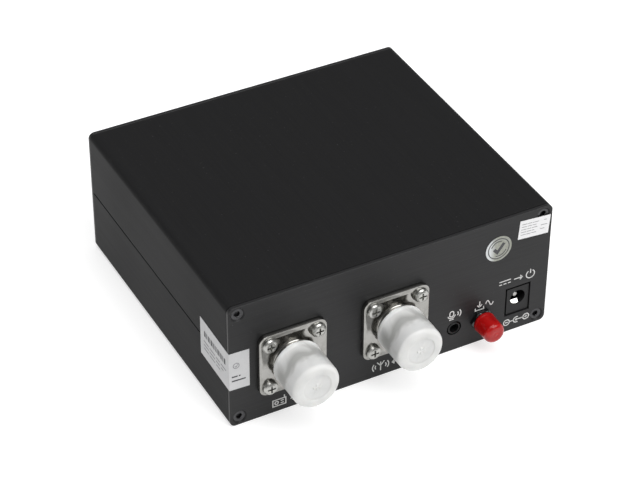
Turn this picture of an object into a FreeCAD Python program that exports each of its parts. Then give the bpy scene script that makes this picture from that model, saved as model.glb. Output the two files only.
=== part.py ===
"""Antenna sharing switch box: split aluminium case, coaxial sockets with dust caps, relay board.

Frame: origin on the underside, at the middle of the case's footprint. +Z is up, -Y points out of
the connector panel, +X is to the right when facing that panel. Lengths are millimetres.
"""
import FreeCAD, Part
import math
import os
import Sketcher

Vector = FreeCAD.Vector
Rotation = FreeCAD.Rotation

# ------------------------------------------------------------------ driving dimensions

SIZES = {
    # split case
    "case_width": 125.0,
    "case_height": 51.0,
    "shell_length": 110.0,
    "panel_thick": 1.5,
    "wall_thick": 2.0,
    "edge_radius": 2.2,
    "edge_break": 0.12,
    "joint_break": 0.25,
    "seam_chamfer": 0.35,
    "tongue_height": 1.6,
    "tongue_gap": 0.12,
    "port_inset_x": 3.6,
    "port_inset_z": 3.3,
    "port_hole_rad": 1.25,
    "port_wall": 1.25,
    "port_slot": 1.0,
    "rib_reach": 2.5,
    "rib_thick": 1.2,
    "slot_width": 1.8,
    "spare_slot_rise": 8.4,
    # panel screws
    "panel_screw_rad": 1.2,
    "panel_screw_head_rad": 2.25,
    "panel_screw_length": 8.0,
    "panel_screw_point": 0.5,
    "panel_hole_rad": 1.7,
    "sink_spare": 0.5,
    "panel_screw_recess": 0.45,
    "hex_flats": 2.0,
    "hex_deep": 1.3,
    # circuit board
    "board_thick": 1.6,
    "board_width": 120.6,
    "board_length": 108.6,
    "pin_rad": 0.4,
    "pin_hole_rad": 0.55,
    "pin_tail": 1.2,
    # coaxial sockets for radio and antenna
    "radio_x": -39.5,
    "antenna_x": 0.1,
    "socket_z": 23.4,
    "flange_size": 25.4,
    "flange_thick": 2.0,
    "flange_corner": 3.0,
    "flange_hole_rad": 1.6,
    "screw_spacing": 18.2,
    "barrel_hole_spare": 0.3,
    "barrel_rad": 7.85,
    "barrel_bevel": 0.6,
    "barrel_length": 14.4,
    "mouth_rad": 6.4,
    "mouth_deep": 5.9,
    "boss_rad": 6.2,
    "boss_length": 7.5,
    "dielectric_rad": 5.3,
    "rim_notch": 1.6,
    "rim_notch_deep": 1.0,
    "insulator_end": 9.0,
    "contact_rad": 2.6,
    "contact_bore_rad": 2.05,
    "contact_bore_deep": 10.0,
    "contact_slit": 0.4,
    "contact_slit_deep": 5.0,
    "cup_rad": 2.3,
    "cup_bore_rad": 1.0,
    "cup_bore_deep": 4.5,
    "cup_end": 15.0,
    "flange_screw_rad": 1.45,
    "flange_head_rad": 2.8,
    "flange_head_high": 1.9,
    "flange_screw_length": 8.0,
    "flange_screw_point": 0.4,
    "cross_length": 3.0,
    "cross_width": 0.6,
    "cross_deep": 1.2,
    "nut_flats": 5.5,
    "nut_thick": 2.4,
    "thread_spare": 0.02,
    # white dust caps
    "cap_rim_gap": 2.5,
    "cap_length": 14.8,
    "cap_rim_rad": 8.9,
    "cap_tip_rad": 8.75,
    "cap_bore_rad": 8.05,
    "cap_end_thick": 1.2,
    "cap_edge_rad": 1.4,
    # receiver socket
    "sdr_x": 35.8,
    "sdr_z": 9.95,
    "sdr_thread_rad": 3.1,
    "sdr_reach": 8.2,
    "sdr_mouth_rad": 2.3,
    "sdr_mouth_deep": 1.9,
    "sdr_dielectric_rad": 2.05,
    "sdr_contact_rad": 0.75,
    "sdr_bore_rad": 0.5,
    "sdr_bore_deep": 3.5,
    "sdr_contact_recess": 0.6,
    "sdr_hole_spare": 0.15,
    "sdr_neck_rad": 2.24,
    "sdr_bevel": 0.4,
    "sdr_block": 6.4,
    "sdr_block_deep": 7.0,
    "sdr_leg_inset": 0.7,
    "sdr_leg_front": 1.2,
    "sdr_leg_back": 5.8,
    "sdr_tail_reach": 1.0,
    "sdr_nut_flats": 8.0,
    "sdr_nut_thick": 1.6,
    "sdr_cap_gap": 1.9,
    "sdr_cap_length": 8.1,
    "sdr_cap_rim_rad": 4.15,
    "sdr_cap_tip_rad": 4.05,
    "sdr_cap_edge_rad": 1.4,
    "sdr_cap_bore_rad": 3.3,
    "sdr_cap_end_thick": 0.8,
    # push-to-talk jack
    "ptt_x": 24.7,
    "ptt_z": 10.0,
    "ptt_nose_rad": 2.45,
    "ptt_bore_rad": 1.8,
    "ptt_hole_rad": 2.9,
    "ptt_width": 6.2,
    "ptt_setback": 0.4,
    "ptt_depth": 12.0,
    "ptt_top": 2.7,
    "ptt_slot_start": 3.5,
    "ptt_slot_width": 1.4,
    "ptt_leaf_start": 4.0,
    "ptt_leaf_width": 1.2,
    "ptt_leaf_rise": 1.9,
    "ptt_tail_width": 0.6,
    "ptt_leg_gap": 0.45,
    "ptt_leg_high": 2.0,
    "leaf_thick": 0.3,
    # supply jack
    "dc_x": 50.8,
    "dc_z": 13.9,
    "dc_width": 9.0,
    "dc_height": 11.0,
    "dc_recess": 0.5,
    "dc_face_depth": 3.4,
    "dc_depth": 14.2,
    "dc_bore_rad": 3.0,
    "dc_bore_deep": 9.6,
    "dc_pin_rad": 1.05,
    "dc_pin_recess": 1.8,
    "dc_pin_bevel": 0.3,
    "dc_stem_rad": 0.75,
    "dc_stem_reach": 1.2,
    "dc_leg_width": 0.8,
    "dc_leg_thick": 0.7,
    "dc_gap_left": 0.9,
    "dc_gap_right": 0.3,
    "dc_gap_low": 0.3,
    "dc_gap_high": 1.1,
    "dc_seat_left": 2.3,
    "dc_seat_right": 1.2,
    "dc_seat_start": 0.4,
    "dc_seat_drop": 2.0,
    "dc_leaf_left": 2.1,
    "dc_leaf_right": 1.0,
    "dc_leaf_start": 0.6,
    "dc_leaf_crest": 1.9,
    "dc_leaf_level": 4.4,
    "dc_leaf_end": 9.0,
    "dc_crest_drop": 2.15,
    "dc_leaf_drop": 2.9,
    "dc_leaf_dip": 3.4,
    "dc_leaf_thick": 0.3,
    "dc_foot_thick": 0.6,
    # hidden panel
    "button_x": -44.0,
    "button_rise": 4.4,
    "button_rad": 3.1,
    "button_proud": 6.0,
    "button_travel": 3.0,
    "switch_size": 8.5,
    "switch_depth": 14.0,
    "switch_setback": 5.0,
    "switch_wall": 1.0,
    "switch_leg_x": 2.5,
    "stem_rad": 1.6,
    "stem_spare": 0.15,
    "stem_inside": 6.5,
    "button_hole_spare": 0.3,
    "button_clear": 0.4,
    "button_edge_rad": 0.6,
    "spring_rad": 1.2,
    "spring_wire": 0.2,
    "spring_turns": 6.0,
    "lamp_rad": 1.5,
    "lamp_hole_spare": 0.1,
    "lamp_proud": 0.4,
    "lamp_back": 3.6,
    "lamp_rim_rad": 1.9,
    "lamp_rim_thick": 1.0,
    "lamp_leg_x": 1.27,
    "lamp_leg_width": 0.5,
    "lamp_leg_reach": 2.5,
    "lamp_z": 15.0,
    "power_lamp_x": 42.0,
    "transmit_lamp_x": 30.0,
    # relays
    "relay_width": 19.0,
    "relay_depth": 15.4,
    "relay_height": 15.5,
    "relay_wall": 0.8,
    "relay_edge_rad": 0.6,
    "relay_deck": 1.8,
    "relay_pole_rise": 11.6,
    "relay_pin_proud": 0.6,
    "yoke_x": 6.0,
    "yoke_front": 4.5,
    "yoke_thick": 1.0,
    "yoke_width": 8.0,
    "relay_core_rad": 1.7,
    "pole_rad": 2.6,
    "pole_thick": 0.6,
    "pole_drop": 0.2,
    "spool_rad": 2.4,
    "spool_hole_rad": 1.75,
    "spool_rise": 1.1,
    "spool_drop": 0.9,
    "spool_rim_rad": 4.8,
    "spool_rim_thick": 0.7,
    "wound_rad": 4.3,
    "armature_gap_deg": 4.0,
    "armature_rest": 0.05,
    "armature_pivot": 0.6,
    "armature_iron_near": 0.4,
    "armature_iron_far": 9.6,
    "armature_iron_width": 6.8,
    "armature_iron_thick": 0.8,
    "armature_leaf_near": 2.0,
    "armature_leaf_width": 3.2,
    "armature_leaf_thick": 0.15,
    "armature_reach": 13.0,
    "armature_overhang": 0.9,
    "contact_rivet_rad": 0.7,
    "contact_rivet_low": 0.35,
    "contact_rivet_high": 1.1,
    "contact_blade": 0.3,
    "contact_spare": 0.06,
    "contact_near": 1.4,
    "contact_far": 2.6,
    "antenna_relay_x": -11.0,
    "antenna_relay_y": -24.0,
    "sdr_relay_x": 19.0,
    "sdr_relay_y": -24.0,
    # leads and ring core
    "lead_rad": 0.9,
    "lead_bend": 5.0,
    "lead_seat": 4.0,
    "lead_run": 8.0,
    "lead_hole_spare": 0.1,
    "core_outer": 6.4,
    "core_inner": 3.8,
    "core_height": 4.8,
    "core_rise": 0.3,
    "turn_wire": 0.6,
    "turn_gap": 0.05,
    # board parts
    "can_rad": 4.0,
    "can_height": 11.5,
    "can_rise": 0.3,
    "can_bead_rad": 4.15,
    "can_bead_rise": 1.6,
    "can_bead_high": 0.7,
    "can_pin_x": 1.25,
    "can_pin_high": 1.0,
    "regulator_x": 38.0,
    "regulator_y": 4.0,
    "regulator_width": 10.0,
    "regulator_thick": 3.2,
    "regulator_tab_thick": 1.3,
    "regulator_rise": 4.0,
    "regulator_high": 13.0,
    "regulator_tab_high": 19.0,
    "regulator_hole_rad": 1.8,
    "regulator_hole_high": 16.0,
    "leg_pitch": 2.54,
    "chip_x": 6.0,
    "chip_y": 4.0,
    "chip_length": 9.6,
    "chip_width": 6.4,
    "chip_rise": 0.5,
    "chip_high": 3.8,
    "chip_leg_reach": 3.6,
    "chip_leg_high": 2.0,
    "small_part_x": -32.0,
    "small_part_y": -4.0,
    "small_part_pitch_x": 5.0,
    "small_part_pitch_y": 4.5,
    "small_part_length": 3.2,
    "small_part_width": 1.6,
    "small_part_high": 0.6,
    "small_part_step": 0.4,
    # labels
    "label_thick": 0.1,
    "seal_on_face": 7.5,
    "seal_on_side": 21.6,
    "seal_low": 16.4,
    "seal_high": 32.2,
    "seal_tilt_deg": 2.2,
    "corner_width": 12.4,
    "corner_height": 7.7,
    "corner_x": 55.3,
    "corner_z": 43.6,
    "corner_tilt_deg": 4.8,
    "sticker_x": 41.2,
    "sticker_z": 39.2,
    "sticker_rad": 5.2,
}

# counts and repeated places
HEX_CORNERS = 6
RIM_NOTCHES = 4
SENSING_TURNS = 12
SMALL_PART_COLUMNS = 5
SMALL_PART_ROWS = 4
PTT_LEG_DEPTHS = (2.5, 8.5)
SWITCH_LEG_DEPTHS = (3.0, 7.0, 11.0)
CHIP_LEG_STEPS = (-1.5, -0.5, 0.5, 1.5)
REGULATOR_LEG_STEPS = (-1, 0, 1)
CAN_PLACES = ((50.0, -30.0), (50.0, -19.0), (38.0, -12.0))
RELAY_PIN_PLACES = {
    "coil_a": (-7.2, -5.0),
    "coil_b": (-7.2, 5.0),
    "common": (7.4, 0.0),
    "closed": (-7.9, -2.2),
    "opened": (-7.9, 2.2),
}

# outline of a pan head, as shares of its radius and of its height
PAN_HEAD = ((0.62, 1.0), (0.84, 0.82), (0.96, 0.55), (1.0, 0.2), (1.0, 0.0))

# lengths that only make sure that a cutting tool passes right through, or that two solids meet
PAST = 1.0
MEET = 0.5

doc = FreeCAD.newDocument("AntennaSwitchBox")
sheet = doc.addObject("Spreadsheet::Sheet", "Sizes")
for row, (alias, number) in enumerate(SIZES.items(), start=1):
    sheet.set(f"A{row}", alias)
    sheet.set(f"B{row}", str(number))
    sheet.setAlias(f"B{row}", alias)
doc.recompute()


class Size:
    """A number together with the sheet expression that it comes from."""

    def __init__(self, value, text):
        self.value = value
        self.text = text

    def __add__(self, other):
        other = as_size(other)
        return Size(self.value + other.value, f"({self.text} + {other.text})")

    def __sub__(self, other):
        other = as_size(other)
        return Size(self.value - other.value, f"({self.text} - {other.text})")

    def __mul__(self, factor):
        return Size(self.value * factor, f"({self.text} * {factor!r})")

    def __truediv__(self, divisor):
        return Size(self.value / divisor, f"({self.text} / {divisor!r})")

    def __neg__(self):
        return Size(-self.value, f"(0 - {self.text})")

    __radd__ = __add__
    __rmul__ = __mul__

    def __rsub__(self, other):
        return as_size(other) - self


def as_size(number):
    """Accept a plain number where a Size is expected."""
    if isinstance(number, Size):
        return number
    return Size(float(number), f"({float(number)!r})")


class SizeSheet:
    """Look up a driving dimension by its alias."""

    def __getattr__(self, alias):
        return Size(SIZES[alias], f"Sizes.{alias}")


S = SizeSheet()
NODES = {}

# ------------------------------------------------------------------ helpers: primitives


def register(node, obj):
    """Name an object as one of the sub-parts that is written out."""
    obj.Label = node
    NODES[node] = obj
    return obj


def move(obj, x, y, z):
    """Bind an object's position to the sheet."""
    for letter, size in zip("xyz", (x, y, z)):
        obj.setExpression(f"Placement.Base.{letter}", as_size(size).text)
    return obj


def bind(obj, **sizes):
    """Bind an object's properties to the sheet."""
    for name, size in sizes.items():
        obj.setExpression(name, as_size(size).text)
    return obj


def box(name, x, y, z):
    """A box between two X, two Y and two Z values."""
    obj = doc.addObject("Part::Box", name)
    (x0, x1), (y0, y1), (z0, z1) = x, y, z
    bind(obj, Length=as_size(x1) - x0, Width=as_size(y1) - y0, Height=as_size(z1) - z0)
    return move(obj, x0, y0, z0)


AXIS_TURN = {
    "x": Rotation(Vector(0, 1, 0), 90),
    "y": Rotation(Vector(1, 0, 0), -90),
    "z": Rotation(),
}


def rod(name, along, start, radius, length):
    """A cylinder from a start point along +X, +Y or +Z."""
    obj = doc.addObject("Part::Cylinder", name)
    obj.Placement = FreeCAD.Placement(Vector(), AXIS_TURN[along])
    bind(obj, Radius=radius, Height=length)
    return move(obj, *start)


def hexagon(name, along, start, flats, length):
    """A hexagonal bar, given its width across flats."""
    obj = doc.addObject("Part::Prism", name)
    obj.Polygon = HEX_CORNERS
    obj.Placement = FreeCAD.Placement(Vector(), AXIS_TURN[along])
    bind(obj, Circumradius=as_size(flats) / math.sqrt(3), Height=length)
    return move(obj, *start)


def cut(name, base, *tools):
    """The base with every tool taken out of it."""
    tool = tools[0] if len(tools) == 1 else group(name + "_tools", tools)
    obj = doc.addObject("Part::Cut", name)
    obj.Base = base
    obj.Tool = tool
    return obj


def fuse(name, *shapes):
    """One solid from several that meet."""
    obj = doc.addObject("Part::MultiFuse", name)
    obj.Shapes = list(shapes)
    obj.Refine = True
    return obj


def group(name, shapes):
    """Several separate solids under one name."""
    obj = doc.addObject("Part::Compound", name)
    obj.Links = list(shapes)
    return obj


def copies(name, master, places):
    """Linked copies of one object, as a group of separate solids."""
    links = []
    for index, place in enumerate(places):
        link = doc.addObject("App::Link", f"{name}_{index}")
        link.LinkedObject = master
        link.LinkTransform = False
        links.append(move(link, *place))
    return group(name, links)


# ------------------------------------------------------------------ helpers: PartDesign


def body(name):
    return doc.addObject("PartDesign::Body", name)


def origin_item(owner, role):
    return next(item for item in owner.Origin.OriginFeatures if item.Role == role)


def sketch_on(owner, name, role, height=0.0):
    """A sketch on one of a body's origin planes, raised along that plane's normal."""
    drawing = owner.newObject("Sketcher::SketchObject", name)
    drawing.AttachmentSupport = [(origin_item(owner, role), "")]
    drawing.MapMode = "FlatFace"
    drawing.setExpression("AttachmentOffset.Base.z", as_size(height).text)
    return drawing


def constrain(drawing, kind, *refs, size):
    """Add a dimension to a sketch and bind it to the sheet."""
    size = as_size(size)
    index = drawing.addConstraint(Sketcher.Constraint(kind, *refs, size.value))
    drawing.setExpression(f"Constraints[{index}]", size.text)


def draw_circle(drawing, x, y, radius):
    x, y, radius = as_size(x), as_size(y), as_size(radius)
    circle = Part.Circle(Vector(x.value, y.value, 0), Vector(0, 0, 1), radius.value)
    index = drawing.addGeometry(circle, False)
    constrain(drawing, "Radius", index, size=radius)
    constrain(drawing, "DistanceX", -1, 1, index, 3, size=x)
    constrain(drawing, "DistanceY", -1, 1, index, 3, size=y)


def draw_polygon(drawing, points):
    """A closed outline whose every corner is dimensioned from the sketch's origin."""
    corners = [(as_size(x), as_size(y)) for x, y in points]
    spots = [Vector(x.value, y.value, 0) for x, y in corners]
    count = len(corners)
    first = drawing.GeometryCount
    for index in range(count):
        drawing.addGeometry(Part.LineSegment(spots[index], spots[(index + 1) % count]), False)
    for index in range(count):
        after = first + (index + 1) % count
        drawing.addConstraint(Sketcher.Constraint("Coincident", first + index, 2, after, 1))
    for index, (x, y) in enumerate(corners):
        constrain(drawing, "DistanceX", -1, 1, first + index, 1, size=x)
        constrain(drawing, "DistanceY", -1, 1, first + index, 1, size=y)


def draw_rectangle(drawing, x0, x1, y0, y1):
    draw_polygon(drawing, [(x0, y0), (x1, y0), (x1, y1), (x0, y1)])


def pad(owner, drawing, length, symmetric=False, backwards=False):
    feature = owner.newObject("PartDesign::Pad", drawing.Name + "_pad")
    feature.Profile = drawing
    feature.setExpression("Length", as_size(length).text)
    feature.Midplane = symmetric
    feature.Reversed = backwards
    doc.recompute()
    return feature


def pocket(owner, drawing, length, backwards=False, symmetric=False):
    """Cut a sketch's outline into the body, and make sure that something was removed."""
    doc.recompute()
    before = owner.Shape.Volume
    feature = owner.newObject("PartDesign::Pocket", drawing.Name + "_pocket")
    feature.Profile = drawing
    feature.setExpression("Length", as_size(length).text)
    feature.Reversed = backwards
    feature.Midplane = symmetric
    doc.recompute()
    if owner.Shape.Volume >= before:
        raise RuntimeError(f"{feature.Name} removed nothing")
    return feature


def revolve(owner, drawing):
    """Turn a sketch's outline round its own vertical axis."""
    feature = owner.newObject("PartDesign::Revolution", drawing.Name + "_turned")
    feature.Profile = drawing
    feature.ReferenceAxis = (drawing, ["V_Axis"])
    feature.Angle = 360
    doc.recompute()
    return feature


def ring_pattern(owner, features, count):
    """Repeat features round the body's Y axis."""
    feature = owner.newObject("PartDesign::PolarPattern", features[-1].Name + "_ring")
    feature.Originals = features
    feature.Axis = (origin_item(owner, "Y_Axis"), [""])
    feature.Angle = 360
    feature.Occurrences = count
    owner.Tip = feature
    doc.recompute()
    return feature


def dress(owner, kind, name, size, wanted):
    """Fillet or chamfer the edges of the body's tip that a test picks out."""
    doc.recompute()
    base = owner.Tip
    edges = []
    for index, edge in enumerate(base.Shape.Edges, start=1):
        if wanted(edge):
            edges.append(f"Edge{index}")
    if not edges:
        raise RuntimeError(f"{name} found no edges")
    feature = owner.newObject(f"PartDesign::{kind}", name)
    feature.Base = (base, edges)
    key = "Radius" if kind == "Fillet" else "Size"
    feature.setExpression(key, as_size(size).text)
    doc.recompute()
    return feature


def runs_along_y(edge, x, z):
    """Whether a straight edge runs along Y through the given X and Z."""
    first, last = edge.Vertexes[0].Point, edge.Vertexes[-1].Point
    level = math.isclose(first.x, last.x, abs_tol=1e-4) and math.isclose(first.z, last.z, abs_tol=1e-4)
    near = math.isclose(first.x, x, abs_tol=1e-3) and math.isclose(first.z, z, abs_tol=1e-3)
    return level and near and abs(first.y - last.y) > 0.1


def lies_at(edge, y):
    """Whether an edge lies wholly in the plane at the given Y."""
    return all(math.isclose(vertex.Point.y, y, abs_tol=1e-3) for vertex in edge.Vertexes)


def is_ring(edge, y):
    """Whether an edge is a full circle at the given Y of its body."""
    return len(edge.Vertexes) == 1 and lies_at(edge, y) and edge.Length > 1.0


def in_order(first, second):
    """Two sizes, the smaller one first."""
    return sorted([first, second], key=lambda size: size.value)


# ------------------------------------------------------------------ shared positions

half_width = S.case_width / 2
half_shell = S.shell_length / 2
face_y = -(half_shell + S.panel_thick)
inner_face_y = -half_shell
seam_z = S.case_height / 2
board_low = S.port_inset_z + S.port_hole_rad + S.port_wall
board_top = board_low + S.board_thick
board_front = -(S.board_length / 2)
pin_low = board_low - S.pin_tail
SIDES = (-1, 1)
board_pins = []
board_leads = []


def board_pin(name, x, y, top):
    """A round leg from below the board up to the given height, with its hole noted."""
    board_pins.append((as_size(x), as_size(y)))
    return rod(name, "z", (x, y, pin_low), S.pin_rad, as_size(top) - pin_low)


# ------------------------------------------------------------------ case


def shell(node, upper):
    """One half of the extruded case, with its half of the side joint, screw ports and ribs."""
    owner = body(node)

    def up(height):
        """Height above the case's underside for the lower half, mirrored for the upper."""
        return S.case_height - height if upper else as_size(height)

    inner = half_width - S.wall_thick
    middle = half_width - S.wall_thick / 2
    if upper:
        step = middle + S.tongue_gap / 2
        step_z = seam_z - S.tongue_height - S.tongue_gap
    else:
        step = middle - S.tongue_gap / 2
        step_z = seam_z + S.tongue_height
    rim = [(half_width, seam_z), (step, seam_z), (step, step_z), (inner, step_z)]
    half = [(half_width, 0.0)] + rim + [(inner, S.wall_thick)]
    right = [(x, up(z)) for x, z in half]
    left = [(-x, z) for x, z in reversed(right)]
    outline = sketch_on(owner, node + "_section", "XZ_Plane")
    draw_polygon(outline, right + left)
    pad(owner, outline, S.shell_length, symmetric=True)

    port = sketch_on(owner, node + "_ports", "XZ_Plane")
    ribs = sketch_on(owner, node + "_ribs", "XZ_Plane")
    port_inner = half_width - S.port_inset_x - S.port_hole_rad - S.port_wall
    rib_inner = inner - S.rib_reach
    rib_low = board_low + S.slot_width
    overlap = S.wall_thick / 4
    for side in SIDES:
        reach = in_order(port_inner * side, (inner + overlap) * side)
        draw_rectangle(port, *reach, *in_order(up(S.wall_thick - overlap), up(board_low)))
        reach = in_order(rib_inner * side, (inner + overlap) * side)
        spare_low = rib_low + S.spare_slot_rise
        for low in (rib_low, spare_low, spare_low + S.rib_thick + S.slot_width):
            draw_rectangle(ribs, *reach, *in_order(up(low), up(low + S.rib_thick)))
    pad(owner, port, S.shell_length, symmetric=True)
    pad(owner, ribs, S.shell_length, symmetric=True)

    holes = sketch_on(owner, node + "_port_holes", "XZ_Plane")
    slots = sketch_on(owner, node + "_port_slots", "XZ_Plane")
    for side in SIDES:
        centre = (half_width - S.port_inset_x) * side
        draw_circle(holes, centre, up(S.port_inset_z), S.port_hole_rad)
        reach = in_order(centre, (port_inner - PAST) * side)
        level = in_order(up(S.port_inset_z - S.port_slot / 2), up(S.port_inset_z + S.port_slot / 2))
        draw_rectangle(slots, *reach, *level)
    pocket(owner, holes, S.shell_length + PAST, symmetric=True)
    pocket(owner, slots, S.shell_length + PAST, symmetric=True)

    outer_z = up(0.0).value
    dress(owner, "Fillet", node + "_edges", S.edge_radius,
          lambda edge: any(runs_along_y(edge, half_width.value * side, outer_z) for side in SIDES))
    dress(owner, "Chamfer", node + "_seam", S.seam_chamfer,
          lambda edge: any(runs_along_y(edge, half_width.value * side, seam_z.value) for side in SIDES))
    return register(node, owner)


def rounded_plate(owner, name):
    """The rectangular end plate that closes one end of the case."""
    outline = sketch_on(owner, name, "XZ_Plane")
    draw_rectangle(outline, -half_width, half_width, 0.0, S.case_height)
    pad(owner, outline, S.panel_thick)
    corners = [(x, z) for x in (-half_width.value, half_width.value) for z in (0.0, S.case_height.value)]
    dress(owner, "Fillet", name + "_corners", S.edge_radius,
          lambda edge: any(runs_along_y(edge, x, z) for x, z in corners))
    dress(owner, "Chamfer", name + "_face_edges", S.edge_break,
          lambda edge: lies_at(edge, -S.panel_thick.value))
    dress(owner, "Chamfer", name + "_joint_edges", S.joint_break, lambda edge: lies_at(edge, 0.0))


def corner_holes(owner, name):
    """Countersunk holes over the shells' screw ports."""
    spots = sketch_on(owner, name, "XZ_Plane", S.panel_thick)
    for side in SIDES:
        for level in (S.port_inset_z, S.case_height - S.port_inset_z):
            draw_circle(spots, (half_width - S.port_inset_x) * side, level, S.panel_hole_rad)
    doc.recompute()
    before = owner.Shape.Volume
    holes = owner.newObject("PartDesign::Hole", name + "_sunk")
    holes.Profile = spots
    doc.recompute()
    holes.Threaded = False
    holes.DepthType = "ThroughAll"
    holes.setExpression("Diameter", (S.panel_hole_rad * 2).text)
    holes.HoleCutType = "Countersink"
    holes.HoleCutCustomValues = True
    holes.HoleCutCountersinkAngle = 90
    holes.setExpression("HoleCutDiameter", ((S.panel_screw_head_rad + S.sink_spare) * 2).text)
    doc.recompute()
    if owner.Shape.Volume >= before:
        raise RuntimeError(f"{name} removed nothing")


def connector_panel():
    """End plate with the openings for the sockets and jacks, outside face on -Y."""
    node = "connector_panel"
    owner = body(node)
    rounded_plate(owner, node + "_outline")
    openings = sketch_on(owner, node + "_openings", "XZ_Plane")
    for centre in (S.radio_x, S.antenna_x):
        draw_circle(openings, centre, S.socket_z, S.boss_rad + S.barrel_hole_spare)
        for side in SIDES:
            for level in SIDES:
                x = centre + S.screw_spacing / 2 * side
                z = S.socket_z + S.screw_spacing / 2 * level
                draw_circle(openings, x, z, S.flange_hole_rad)
    draw_circle(openings, S.ptt_x, S.ptt_z, S.ptt_hole_rad)
    draw_circle(openings, S.sdr_x, S.sdr_z, S.sdr_thread_rad + S.sdr_hole_spare)
    dc_left = S.dc_x - S.dc_width / 2 - S.dc_gap_left
    dc_right = S.dc_x + S.dc_width / 2 + S.dc_gap_right
    dc_high = board_top + S.dc_height + S.dc_gap_high
    draw_rectangle(openings, dc_left, dc_right, board_top - S.dc_gap_low, dc_high)
    pocket(owner, openings, (S.panel_thick + PAST) * 2, symmetric=True)
    corner_holes(owner, node + "_corner_holes")
    move(owner, 0, inner_face_y, 0)
    return register(node, owner)


def front_panel():
    """End plate at +Y with the holes for the push button and two lamps."""
    node = "front_panel"
    owner = body(node)
    rounded_plate(owner, node + "_outline")
    openings = sketch_on(owner, node + "_openings", "XZ_Plane")
    button_hole = S.button_rad + S.button_hole_spare
    draw_circle(openings, -S.button_x, board_top + S.button_rise, button_hole)
    for x in (S.power_lamp_x, S.transmit_lamp_x):
        draw_circle(openings, -x, S.lamp_z, S.lamp_rad + S.lamp_hole_spare)
    pocket(owner, openings, (S.panel_thick + PAST) * 2, symmetric=True)
    corner_holes(owner, node + "_corner_holes")
    owner.Placement = FreeCAD.Placement(Vector(), Rotation(Vector(0, 0, 1), 180))
    move(owner, 0, half_shell, 0)
    return register(node, owner)


def panel_screws():
    """Countersunk hex-socket screws, a little below the surface: a master, four copies a panel."""
    master = body("panel_screw")
    profile = sketch_on(master, "panel_screw_profile", "XY_Plane")
    sink = S.panel_screw_head_rad - S.panel_screw_rad
    draw_polygon(profile, [
        (0.0, 0.0),
        (S.panel_screw_head_rad, 0.0),
        (S.panel_screw_rad, sink),
        (S.panel_screw_rad, S.panel_screw_length - S.panel_screw_point),
        (S.panel_screw_rad - S.panel_screw_point, S.panel_screw_length),
        (0.0, S.panel_screw_length),
    ])
    revolve(master, profile)
    socket = sketch_on(master, "panel_screw_socket", "XZ_Plane")
    corner = S.hex_flats / math.sqrt(3)
    turns = [2 * math.pi * index / HEX_CORNERS for index in range(HEX_CORNERS)]
    draw_polygon(socket, [(corner * math.cos(turn), corner * math.sin(turn)) for turn in turns])
    pocket(master, socket, S.hex_deep)
    for node, direction in (("connector_panel_screws", 1), ("front_panel_screws", -1)):
        places = []
        for side in SIDES:
            for level in (S.port_inset_z, S.case_height - S.port_inset_z):
                sunk_y = (face_y + S.panel_screw_recess) * direction
                places.append(((half_width - S.port_inset_x) * side, sunk_y, level))
        screws = copies(node, master, places)
        if direction < 0:
            for link in screws.Links:
                link.Placement = FreeCAD.Placement(Vector(), Rotation(Vector(0, 0, 1), 180))
        register(node, screws)


# ------------------------------------------------------------------ radio and antenna sockets


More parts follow.
